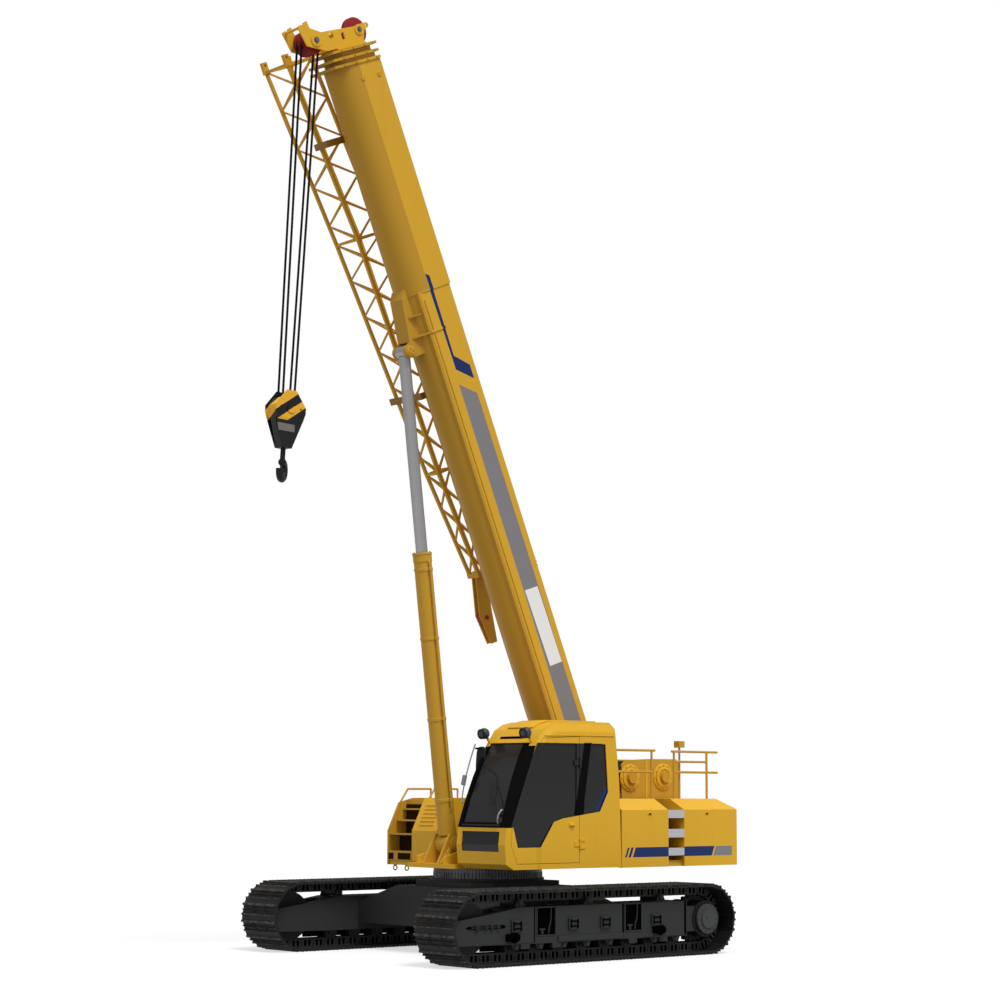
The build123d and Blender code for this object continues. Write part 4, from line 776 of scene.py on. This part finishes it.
# ---- cab ----
cab_trim = Build()
cab_trim.pipe([(0.865, 0.500, 1.980), (0.800, 0.470, 2.270), (0.620, 0.470, 2.690)], 0.009)
cab_trim.pipe([(0.905, 0.560, 1.930), (0.865, 0.500, 1.980)], 0.010, order=2)
cab_trim.pipe([(0.935, 1.372, 1.860), (0.992, 1.372, 1.820), (1.004, 1.360, 1.740), (0.960, 1.320, 1.690)], 0.011)
cab_trim.piece("mirror_arm_and_grab_bar", "superstructure", "lamp_grey", GROUND_STEEL)
clamp = Build()
clamp.disc(0.030, 0.125, along((0.826, 0.476, 2.165), (-0.24, 0.0, 0.97)), steps=14)
clamp.piece("mirror_clamp", "superstructure", "lamp_grey", steel("clamp_grey", srgb(120, 122, 124), 0.45, cast=0.0006))


def mirror_shell():
    """A rounded, upright oval with a flatter back."""
    shell = bmesh.new()
    bmesh.ops.create_uvsphere(shell, u_segments=20, v_segments=12, radius=1.0)
    for point in shell.verts:
        x, y, z = point.co
        point.co = (math.copysign(abs(x) ** 0.7, x) * (0.024 if x > 0 else 0.010),
                    math.copysign(abs(y) ** 0.55, y) * 0.094,
                    math.copysign(abs(z) ** 0.5, z) * 0.178)
    return shell


mirror = Build()
mirror.take(mirror_shell(), [Matrix.Translation((0.545, 0.500, 2.480)) @ Matrix.Rotation(math.radians(-4), 4, "Y")])
mirror.block((0.550, 0.465, 2.62), (0.625, 0.490, 2.645))
mirror.pipe([(0.905, 1.285, 1.800), (0.862, 1.180, 1.985), (0.775, 1.000, 2.175)], 0.008, order=2)
mirror.pipe([(0.850, 1.070, 1.930), (0.783, 0.990, 2.160), (0.700, 0.900, 2.330), (0.655, 0.690, 2.410)], 0.007,
            order=2)
mirror.disc(0.024, 0.030, along((0.893, 1.290, 1.790), (0.93, 0, 0.36)), steps=14)
mirror.block((0.905, 0.600, 1.655), (0.950, 1.330, 1.675))
mirror.piece("mirror_and_wiper", "superstructure", "black_trim")

vent = Build()
vent.block((-0.23, -0.018, -0.006), (0.23, 0.018, 0.006), along((0.405, 0.95, 2.768), (0.806, 0, 0.591)), bevel=0.003)
vent.piece("roof_vent", "superstructure", "black_trim", DARK)
roof = Build()
roof.slab([(0.300, 2.886), (0.190, 2.945), (0.055, 2.976), (-0.780, 2.976), (-0.780, 2.996), (0.062, 2.996),
           (0.200, 2.964), (0.318, 2.900)], 0.50, side_on(1.245), bevel=0.006, segments=2)
roof.pipe([(-0.90, BODY_Y + 0.004, 2.800), (-0.30, BODY_Y + 0.004, 2.800), (0.30, BODY_Y + 0.004, 2.792)], 0.006,
          order=2)
roof.piece("roof_hatch_and_gutter", "superstructure", "crane_yellow")
handle = Build()
handle.block((-0.205, BODY_Y - 0.002, 1.642), (-0.115, BODY_Y + 0.014, 1.690), bevel=0.006, segments=2)
handle.block((-0.200, BODY_Y + 0.010, 1.652), (-0.130, BODY_Y + 0.026, 1.668), bevel=0.005, segments=2)
handle.disc(0.012, 0.008, leftwards(-0.165, BODY_Y - 0.001, 1.610), steps=14)
handle.piece("door_handle", "cab_door", "crane_yellow")

bezels, lenses = Build(), Build()
for y in (0.553, 1.370):
    spot = along((0.541, y, 2.823), (1.0, 0, -0.15))
    bezels.collar(0.052, 0.066, 0.030, spot @ lifted(0.034), steps=24)
    lenses.turned([(0, 0.056), (0.030, 0.053), (0.053, 0.044), (0.053, 0.020), (0, 0.020)], spot)
bezels.piece("lamp_bezels", "superstructure", "black_trim")
lenses.piece("lamp_lenses", "superstructure", "lamp_grey", LENS_GLASS)
beacon = Build()
beacon.block((-2.494, 1.077, 2.684), (-2.412, 1.143, 2.754))
beacon.piece("flashing_lamp_lens", "superstructure", "lamp_grey", AMBER)

# controls seen through the glass
LEVER_X = 0.150
SEAT_POST = ((-0.35, 1.44), (-0.50, 1.52), (-0.545, 1.75))
controls = Build()
for y in (0.680, 1.290):
    controls.slab([(-0.305, 1.680), (0.255, 1.680), (0.235, 1.735), (-0.20, 1.735), (-0.305, 1.710)], 0.070,
                  side_on(y + 0.035), bevel=0.010, segments=2)
    controls.turned([(0.045, 0), (0.036, 0.020), (0.030, 0.035), (0.016, 0.060), (0.012, 0.075), (0, 0.080)],
                    Matrix.Translation((LEVER_X, y, 1.733)), steps=16)
    controls.pipe([(LEVER_X, y, 1.790), (0.155, y, 1.860), (0.148, y, 1.900)], 0.010)
    controls.turned([(0, 0), (0.018, 0.004), (0.024, 0.030), (0.021, 0.060), (0.026, 0.090), (0.020, 0.110),
                     (0, 0.116)], along((LEVER_X, y, 1.880), (-0.08, 0, 1)), steps=16)
controls.slab([(0.600, 1.160), (0.745, 1.160), (0.800, 1.560), (0.760, 1.640), (0.660, 1.610)], 0.46, side_on(1.215),
              bevel=0.012, segments=2)
controls.block((0.640, 0.630, 1.690), (0.665, 0.860, 1.860), bevel=0.008, segments=2)
controls.pipe([(0.690, 0.745, 1.610), (0.655, 0.745, 1.700)], 0.014, order=2)
for y in (0.93, 1.05):
    controls.slab([(0.430, 1.168), (0.580, 1.215), (0.580, 1.235), (0.430, 1.185)], 0.085, side_on(y + 0.043),
                  bevel=0.004)
controls.block((-0.345, 0.765, 1.158), (0.145, 1.205, 1.400), bevel=0.012, segments=2)
for y in (0.80, 1.17):
    controls.pipe([(x, y, z) for x, z in SEAT_POST], 0.012)
for y0, y1 in ((0.640, 0.720), (1.250, 1.330)):
    controls.block((-0.298, y0 + 0.004, 1.158), (0.248, y1 - 0.004, 1.682), bevel=0.012, segments=2)
console = controls.piece("consoles_and_levers", "superstructure", "black_trim")

# ---- seat ----
SEAM_HALF = 0.014


def apply_modifier(thing, kind, label, **settings):
    modifier = thing.modifiers.new(label, kind)
    for key, value in settings.items():
        setattr(modifier, key, value)
    with bpy.context.temp_override(object=thing, active_object=thing, selected_objects=[thing]):
        bpy.ops.object.modifier_apply(modifier=modifier.name)


def blow_up(cushion, swell):
    """Cloth under pressure, each point of which moves no further than swell."""
    before = [point.co.copy() for point in cushion.data.vertices]
    cloth = cushion.modifiers.new("stuffing", "CLOTH")
    cloth.settings.use_pressure = True
    cloth.settings.uniform_pressure_force = 4.0
    cloth.settings.effector_weights.gravity = 0.0
    for step in range(1, 21):
        bpy.context.scene.frame_set(step)
    evaluated = cushion.evaluated_get(bpy.context.evaluated_depsgraph_get())
    blown = [point.co.copy() for point in evaluated.data.vertices]
    cushion.modifiers.remove(cloth)
    for point, start, end in zip(cushion.data.vertices, before, blown):
        move = end - start
        if move.length > swell:
            move *= swell / move.length
        point.co = start + move
    bpy.context.scene.frame_set(1)


def pad(name, low, high, place, swell, seams):
    """A stuffed cushion: a rounded box blown up as cloth, and drawn in at seams given as axis, offset and depth."""
    size = Vector(high) - Vector(low)
    middle = (Vector(low) + Vector(high)) / 2
    shape = bmesh.new()
    bmesh.ops.create_cube(shape, size=1.0)
    bmesh.ops.scale(shape, vec=size * 0.94, verts=shape.verts)
    bmesh.ops.bevel(shape, geom=shape.edges[:], offset=min(size) * 0.28, segments=4, affect="EDGES", profile=0.5,
                    material=-1)
    bmesh.ops.transform(shape, matrix=Matrix.Translation(middle), verts=shape.verts)
    mesh = bpy.data.meshes.new(name)
    shape.to_mesh(mesh)
    shape.free()
    cushion = bpy.data.objects.new(name, mesh)
    bpy.context.scene.collection.objects.link(cushion)
    bpy.context.view_layer.objects.active = cushion
    apply_modifier(cushion, "REMESH", "even_skin", mode="VOXEL", voxel_size=0.016)
    blow_up(cushion, swell)
    apply_modifier(cushion, "SUBSURF", "finer", levels=1, render_levels=1)
    for point in cushion.data.vertices:
        off = point.co - middle
        for axis, at, depth in seams:
            near = 1.0 - min(1.0, abs(off[axis] - at) / SEAM_HALF)
            point.co[axis] -= math.copysign(depth * near * near * (3 - 2 * near), off[axis])
    cushion.data.transform(place)
    cushion.data.shade_smooth()
    cushion.data.materials.append(FINISH["seat_cloth"])
    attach(cushion, "superstructure")
    return cushion


seat_cushion = pad("seat_cushion", (-0.39, 0.75, 1.425), (0.17, 1.22, 1.555), Matrix(), 0.012,
                   [(1, -0.13, 0.010), (1, 0.13, 0.010), (0, 0.12, 0.008)])
lean_back = Matrix.Translation((-0.43, 0.985, 1.86)) @ Matrix.Rotation(math.radians(-10), 4, "Y")
seat_back = pad("seat_back", (-0.060, -0.225, -0.31), (0.060, 0.225, 0.15), lean_back, 0.012,
                [(1, -0.12, 0.010), (1, 0.12, 0.010), (2, -0.02, 0.008)])
head_rest = pad("head_rest", (-0.050, -0.135, 0.175), (0.050, 0.135, 0.310), lean_back, 0.010, [(2, 0.0, 0.006)])
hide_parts("operator_seat")
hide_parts("operator_seat")
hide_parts("operator_seat")
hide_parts("operator_seat")

# ---- deck, cabinets and hood ----
WINCHES = {"main": (-2.167, 2.269), "auxiliary": (-2.799, 2.283)}
LATCHES = (-1.55, -2.62)
EXHAUST_AT = (-2.62, -1.02)

fittings = Build()
for x in LATCHES:
    fittings.block((x - 0.035, BODY_Y - 0.002, 1.780), (x + 0.035, BODY_Y + 0.006, 1.810), bevel=0.003)
for turn in BOTH:
    for x, z in WINCHES.values():
        spot = turn @ leftwards(x, 0.438, z)
        fittings.turned([(0.105, 0), (0.185, 0), (0.185, 0.012), (0.176, 0.018), (0.150, 0.018), (0.138, 0.034),
                         (0.112, 0.040), (0.105, 0.036), (0.105, 0)], spot, steps=36)
        fittings.bolts(0.010, ring_of(12, 0.165, spot @ lifted(0.016)))
    fittings.block((-2.500, 0.436, 1.90), (-2.465, 0.448, 2.50), turn, bevel=0.003)
for y in (-0.32, 0.32):
    # lifting lugs of the counterweight
    fittings.block((-3.060, y - 0.020, 1.878), (-2.940, y + 0.020, 1.960), bevel=0.010, segments=2)
    fittings.collar(0.024, 0.042, 0.046, leftwards(-3.000, y - 0.023, 1.930), steps=20)
for y in (-1.10, -0.70, 0.70, 1.10):
    fittings.block((-3.199, y - 0.14, 1.30), (-3.190, y + 0.14, 1.84), bevel=0.003)
for rear, front, top, width, y in ((-2.95, -2.25, 2.005, 0.62, -0.70), (-2.05, -1.30, 2.003, 0.70, -0.65)):
    # covers on the hood
    fittings.slab([(rear, 1.985), (rear, top), (front, top), (front, 1.985)], width, side_on(y), bevel=0.005)
for x in (-2.90, -2.30, -2.00, -1.35):
    fittings.disc(0.014, 0.012, Matrix.Translation((x, -0.73, 2.002)), steps=12)
for sign in (1, -1):
    # bolts and ribs of the cylinder's foot bracket
    for x in (0.42, 0.93):
        for y in (0.165, 0.225):
            fittings.bolts(0.013, [Matrix.Translation((x, sign * y, 1.178))])
    for rib in ([(0.395, 1.165), (0.540, 1.165), (0.590, 1.360), (0.560, 1.365)],
                [(0.960, 1.165), (0.815, 1.165), (0.768, 1.360), (0.798, 1.365)]):
        fittings.slab(rib, 0.014, side_on(sign * 0.175 + 0.007), bevel=0.002)
fittings.piece("bosses_lugs_and_covers", "superstructure", "crane_yellow")

rear = Build()
for y in (-1.28, 1.28):
    rear.block((-3.204, y - 0.09, 1.150), (-3.188, y + 0.09, 1.205), bevel=0.006, segments=2)
rear.piece("tail_lamps", "superstructure", "lamp_grey", RED_LENS)

grilles = Build()
for x0, x1 in ((-2.95, -2.30), (-2.15, -1.45)):
    for row in range(9):
        z = 1.42 + row * 0.052
        grilles.block((x0, -BODY_Y - 0.004, z), (x1, -BODY_Y + 0.004, z + 0.020), bevel=0.002)
for x in LATCHES:
    grilles.block((x - 0.022, BODY_Y + 0.004, 1.786), (x + 0.022, BODY_Y + 0.012, 1.804), bevel=0.003)
for row in range(7):
    grilles.block((-2.20 + row * 0.12, -1.25, 2.003), (-2.14 + row * 0.12, -0.75, 2.008), bevel=0.002)
grilles.piece("hood_grilles_and_latches", "superstructure", "black_trim", DARK)

exhaust = Build()
exhaust.turned([(0.050, 0), (0.050, 0.20), (0.060, 0.205), (0.060, 0.235), (0.045, 0.235), (0.045, 0.02), (0, 0.02)],
               Matrix.Translation((*EXHAUST_AT, 1.985)), steps=20)
exhaust.collar(0.052, 0.085, 0.012, Matrix.Translation((*EXHAUST_AT, 2.003)), steps=20)
# two hoses from the engine to the foot of the luffing cylinder
exhaust.pipe([(-2.45, -0.35, 1.30), (-2.10, -0.30, 1.30), (-1.60, -0.22, 1.36), (-0.90, -0.20, 1.34),
              (-0.20, -0.20, 1.26), (0.30, -0.19, 1.24)], 0.018)
exhaust.pipe([(-2.45, -0.30, 1.24), (-2.10, -0.25, 1.24), (-1.55, -0.17, 1.28), (-0.90, -0.15, 1.26),
              (-0.20, -0.15, 1.20), (0.30, -0.14, 1.19)], 0.018)
exhaust.piece("exhaust_and_hoses", "superstructure", "black_trim")

ring_bolts = Build()
ring_bolts.bolts(0.013, ring_of(40, 0.675, lifted(1.096)))
ring_bolts.piece("turntable_bolts", "superstructure", "ring_steel")

# painted shade: dark brown sheets in the ladder bay's hollows
shade = Build()
shade.block((0.288, -1.362, 1.296), (0.293, -0.884, 1.905), bevel=0)
for y0, y1 in ((-1.372, -1.262), (-1.170, -0.900)):
    shade.block((0.584, y0, 1.176), (0.587, y1, 1.262), bevel=0)
shade.block((0.400, -1.362, 1.300), (0.405, -0.990, 1.480), bevel=0)
shade.piece("ladder_bay_painted_shade", "superstructure", "black_trim", HOLLOW_PAINTED_SHADE)

# rope wound on the drums
ROPE_PITCH = 0.022
coil_profile = [(0.129, -0.385)]
for turn in range(35):
    middle = -0.374 + turn * ROPE_PITCH
    coil_profile += [(0.137, middle - 0.008), (0.144, middle), (0.137, middle + 0.008)]
coil_profile += [(0.129, 0.385)]
for drum, (x, z) in WINCHES.items():
    coil = Build()
    coil.turned(coil_profile, leftwards(x, 0, z), steps=40)
    coil.piece(drum + "_rope_layer", drum + "_drum", "wire_rope", crease=80)

# ---- boom ----
BACK = (0, 0, 1)


def boom_at(s, y, h, towards):
    """A place in the boom's own frame."""
    return BOOM @ along((s, y, h), towards)


def boom_side(sign, s, y, h):
    """A place on the boom's left side, sign 1, or its right side, sign -1, facing outwards."""
    return boom_at(s, sign * y, h, (0, sign, 0))


def pin_cap(build, radius, step, top, height, place, steps=28):
    """The round cap of a pin: straight up to a step, then narrowing to its top."""
    build.turned([(0, 0), (radius, 0), (radius, step), (top, height), (0, height)], place, steps=steps)


boom_parts = Build()
for sign in (1, -1):
    pin_cap(boom_parts, 0.080, 0.010, 0.066, 0.016, boom_side(sign, 0, 0.342, 0))
    pin_cap(boom_parts, 0.072, 0.012, 0.050, 0.020, boom_side(sign, EYE_PIN[0], 0.137, EYE_PIN[1]))
    for h in (-0.02, 0.26):
        boom_parts.disc(0.032, 0.010, boom_side(sign, 9.960, 0.2515, h))
    for s in (9.960, 9.700):
        boom_parts.disc(0.030, 0.010, boom_at(s, sign * 0.13, 0.3775, BACK))
    for h in (-0.26, -0.06, 0.14, 0.30):
        boom_parts.bolts(0.012, [boom_side(sign, 10.182, 0.2695, h)])
boom_parts.block((3.10, -0.16, 0.362), (3.13, 0.16, 0.43), BOOM, bevel=0.006)
boom_parts.block((3.21, -0.16, 0.362), (3.24, 0.16, 0.43), BOOM, bevel=0.006)
boom_parts.block((7.655, -0.030, 0.374), (7.705, 0.030, 0.402), BOOM, bevel=0.006)
boom_parts.pipe([(1.0, 0.245, -0.150), (7.0, 0.245, -0.150)], 0.006, BOOM, order=2)
boom_parts.piece("boom_bosses_and_pads", "boom", "crane_yellow", OCHRE_PAINT)

fixings = Build()
for sign in (1, -1):
    fixings.bolts(0.012, ring_of(6, 0.052, boom_side(sign, 0, 0.357, 0)))
    fixings.bolts(0.010, ring_of(4, 0.038, boom_side(sign, EYE_PIN[0], 0.156, EYE_PIN[1])))
fixings.turned([(0, -0.13), (0.028, -0.13), (0.028, -0.09), (0.038, -0.07), (0.038, 0.07), (0.028, 0.09),
                (0.028, 0.13), (0, 0.13)], boom_at(3.17, 0, 0.425, LEFT), steps=20)
fixings.piece("boom_pin_bolts_and_roller", "boom", "pin_steel", OCHRE_PAINT)

for name, s in (("boom_section_2", 10.272), ("boom_section_3", 10.372)):
    screws = Build()
    for sign in (1, -1):
        for h in (-0.24, -0.04, 0.16, 0.30):
            screws.bolts(0.011, [boom_side(sign, s, 0.2695, h)])
    for y in (-0.12, 0.12):
        screws.bolts(0.011, [boom_at(s, y, 0.3655, BACK)])
    screws.piece(name + "_collar_bolts", name, "crane_yellow", OCHRE_PAINT)

nuts = Build()
for s, h in (HEAD_PIN, TOP_PIN):
    for sign in (1, -1):
        pin_cap(nuts, 0.062, 0.006, 0.050, 0.012, boom_side(sign, s, 0.1785, h), steps=24)
        nuts.bolts(0.024, [boom_side(sign, s, 0.188, h)])
        nuts.bolts(0.008, ring_of(6, 0.054, boom_side(sign, s, 0.183, h)))
nuts.piece("head_axle_nuts", "boom_tip", "pin_steel")

# ---- cylinder and jib ----
FOOT, EYE = Vector((0.679, 0, 1.4065)), Vector((1.474, 0, 7.780))
LUFF = along(FOOT, EYE - FOOT)
bands = Build()
bands.collar(0.070, 0.130, 0.030, LUFF @ lifted(3.762), steps=32)
for height in (0.55, 1.60, 2.65, 3.55):
    bands.collar(0.1178, 0.1250, 0.040, LUFF @ lifted(height), steps=32)
    bands.block((0.112, -0.024, height), (0.160, 0.024, height + 0.040), LUFF)
bands.pipe([(0.112, 0, 0.42), (0.146, 0, 0.44), (0.146, 0, 0.60), (0.146, 0, 3.50), (0.146, 0, 3.66), (0.108, 0, 3.70)],
           0.013, LUFF)
bands.piece("barrel_bands_and_pipe", "luffing_barrel", "crane_yellow", OCHRE_PAINT)
gland_bolts = Build()
gland_bolts.bolts(0.010, ring_of(10, 0.108, LUFF @ lifted(3.790)))
gland_bolts.piece("gland_bolts", "luffing_barrel", "pin_steel")

jib = Build()
for s in (9.3, 5.78):
    for h in (-0.08, 0.10):
        jib.bolts(0.013, [boom_side(-1, s + step, 0.2525, h) for step in (-0.05, 0.05)])
jib.piece("jib_bracket_bolts", "boom", "pin_steel")

# ---- hook block and falls ----
guards = Build()
for flip in (Matrix(), Matrix.Scale(-1.0, 4, (1, 0, 0))):
    guards.slab([(0.129, -4.664), (0.207, -4.763), (0.207, -4.828), (0.178, -4.915), (0.184, -4.917), (0.213, -4.83),
                 (0.213, -4.76), (0.135, -4.660)], 0.204, FALLS @ flip @ side_on(0.102), bevel=0)
    guards.slab([(0.178, -4.915), (0.072, -5.278), (0.078, -5.280), (0.184, -4.917)], 0.112,
                FALLS @ flip @ side_on(0.056), bevel=0)
guards.piece("hook_block_guards", "hook_block", "black_trim", MARKED["hook_block"])
block_bolts = Build()
for turn in BOTH:
    block_bolts.bolts(0.009, [FALLS @ turn @ leftwards(x, 0.119, -4.78) for x in (-0.15, 0.15)])
block_bolts.piece("hook_block_bolts", "hook_block", "black_trim")

falls = Build()
for y, side in ((-0.075, -1), (-0.025, 1), (0.025, -1), (0.075, 1)):
    falls.pipe([(side * 0.1475, y, -0.02), (side * 0.1042, y, -4.780)], 0.015, FALLS, order=2, sides=2)
falls.piece("hoist_falls", "hook_block", "wire_rope")

# ---- stage: floor, light, camera ----
CAMERA_AT = Vector((20.283, 23.835, 2.150))
CAMERA_YAW, CAMERA_PITCH, CAMERA_ROLL = -2.2805, 0.121, -0.0031
LENS = 84.73
FLOOR_GREY, FLOOR_GLOW = 0.36, 0.62
WORLD_LIGHT, WORLD_SEEN = 0.55, 0.45


def any_of(rays, *kinds):
    """1 for a ray of any of these kinds."""
    first, *others = (Wire(rays.tree, rays.socket.node.outputs["Is %s Ray" % kind]) for kind in kinds)
    for other in others:
        first = first.most(other)
    return first


def floor():
    """A pale floor that takes shadows and shines white where it is looked at."""
    shape = bmesh.new()
    bmesh.ops.create_grid(shape, x_segments=1, y_segments=1, size=400.0)
    mesh = bpy.data.meshes.new("floor")
    shape.to_mesh(mesh)
    shape.free()
    sheet = bpy.data.objects.new("floor", mesh)
    bpy.context.scene.collection.objects.link(sheet)
    material = bpy.data.materials.new("pale_floor")
    material.use_nodes = True
    tree = material.node_tree
    surface = tree.nodes["Principled BSDF"]
    surface.inputs["Base Color"].default_value = (FLOOR_GREY, FLOOR_GREY, FLOOR_GREY, 1)
    surface.inputs["Roughness"].default_value = 1.0
    surface.inputs["Specular IOR Level"].default_value = 0.0
    maker = Wire(tree)
    seen = any_of(maker.add("LightPath"), "Camera", "Glossy", "Transmission")
    glow = maker.add("Emission", {"Color": (1, 1, 1, 1), "Strength": seen * FLOOR_GLOW})
    both = maker.add("AddShader", {0: Wire(tree, surface.outputs[0]), 1: glow})
    tree.links.new(both.socket, tree.nodes["Material Output"].inputs["Surface"])
    mesh.materials.append(material)


def studio():
    """White surroundings, brighter to the camera than to the crane."""
    world = bpy.data.worlds.new("studio")
    bpy.context.scene.world = world
    world.use_nodes = True
    tree = world.node_tree
    seen = any_of(Wire(tree).add("LightPath"), "Camera", "Transmission")
    background = tree.nodes["Background"]
    tree.links.new((seen * WORLD_SEEN + WORLD_LIGHT).socket, background.inputs["Strength"])
    background.inputs["Color"].default_value = (1, 1, 1, 1)


def sun(name, towards, strength, spread):
    lamp = bpy.data.lights.new(name, "SUN")
    lamp.energy = strength
    lamp.angle = math.radians(spread)
    holder = bpy.data.objects.new(name, lamp)
    bpy.context.scene.collection.objects.link(holder)
    holder.rotation_euler = Vector(towards).to_track_quat("-Z", "Y").to_euler()


def camera():
    lens = bpy.data.cameras.new("camera")
    lens.lens = LENS
    lens.sensor_width = 36.0
    lens.clip_end = 2000.0
    eye = bpy.data.objects.new("camera", lens)
    bpy.context.scene.collection.objects.link(eye)
    ahead = Vector((math.cos(CAMERA_PITCH) * math.cos(CAMERA_YAW), math.cos(CAMERA_PITCH) * math.sin(CAMERA_YAW),
                    math.sin(CAMERA_PITCH)))
    turn = ahead.to_track_quat("-Z", "Y").to_matrix().to_4x4()
    eye.matrix_world = Matrix.Translation(CAMERA_AT) @ turn @ Matrix.Rotation(-CAMERA_ROLL, 4, "Z")
    bpy.context.scene.camera = eye


floor()
studio()
sun("key", (-0.047, -0.49, -0.872), 2.34, 20)
sun("fill", (-0.9, -0.1, -0.25), 0.25, 60)
camera()
bpy.context.scene.view_settings.view_transform = "Standard"

# ---- last update of the view layer ----
bpy.context.view_layer.update()
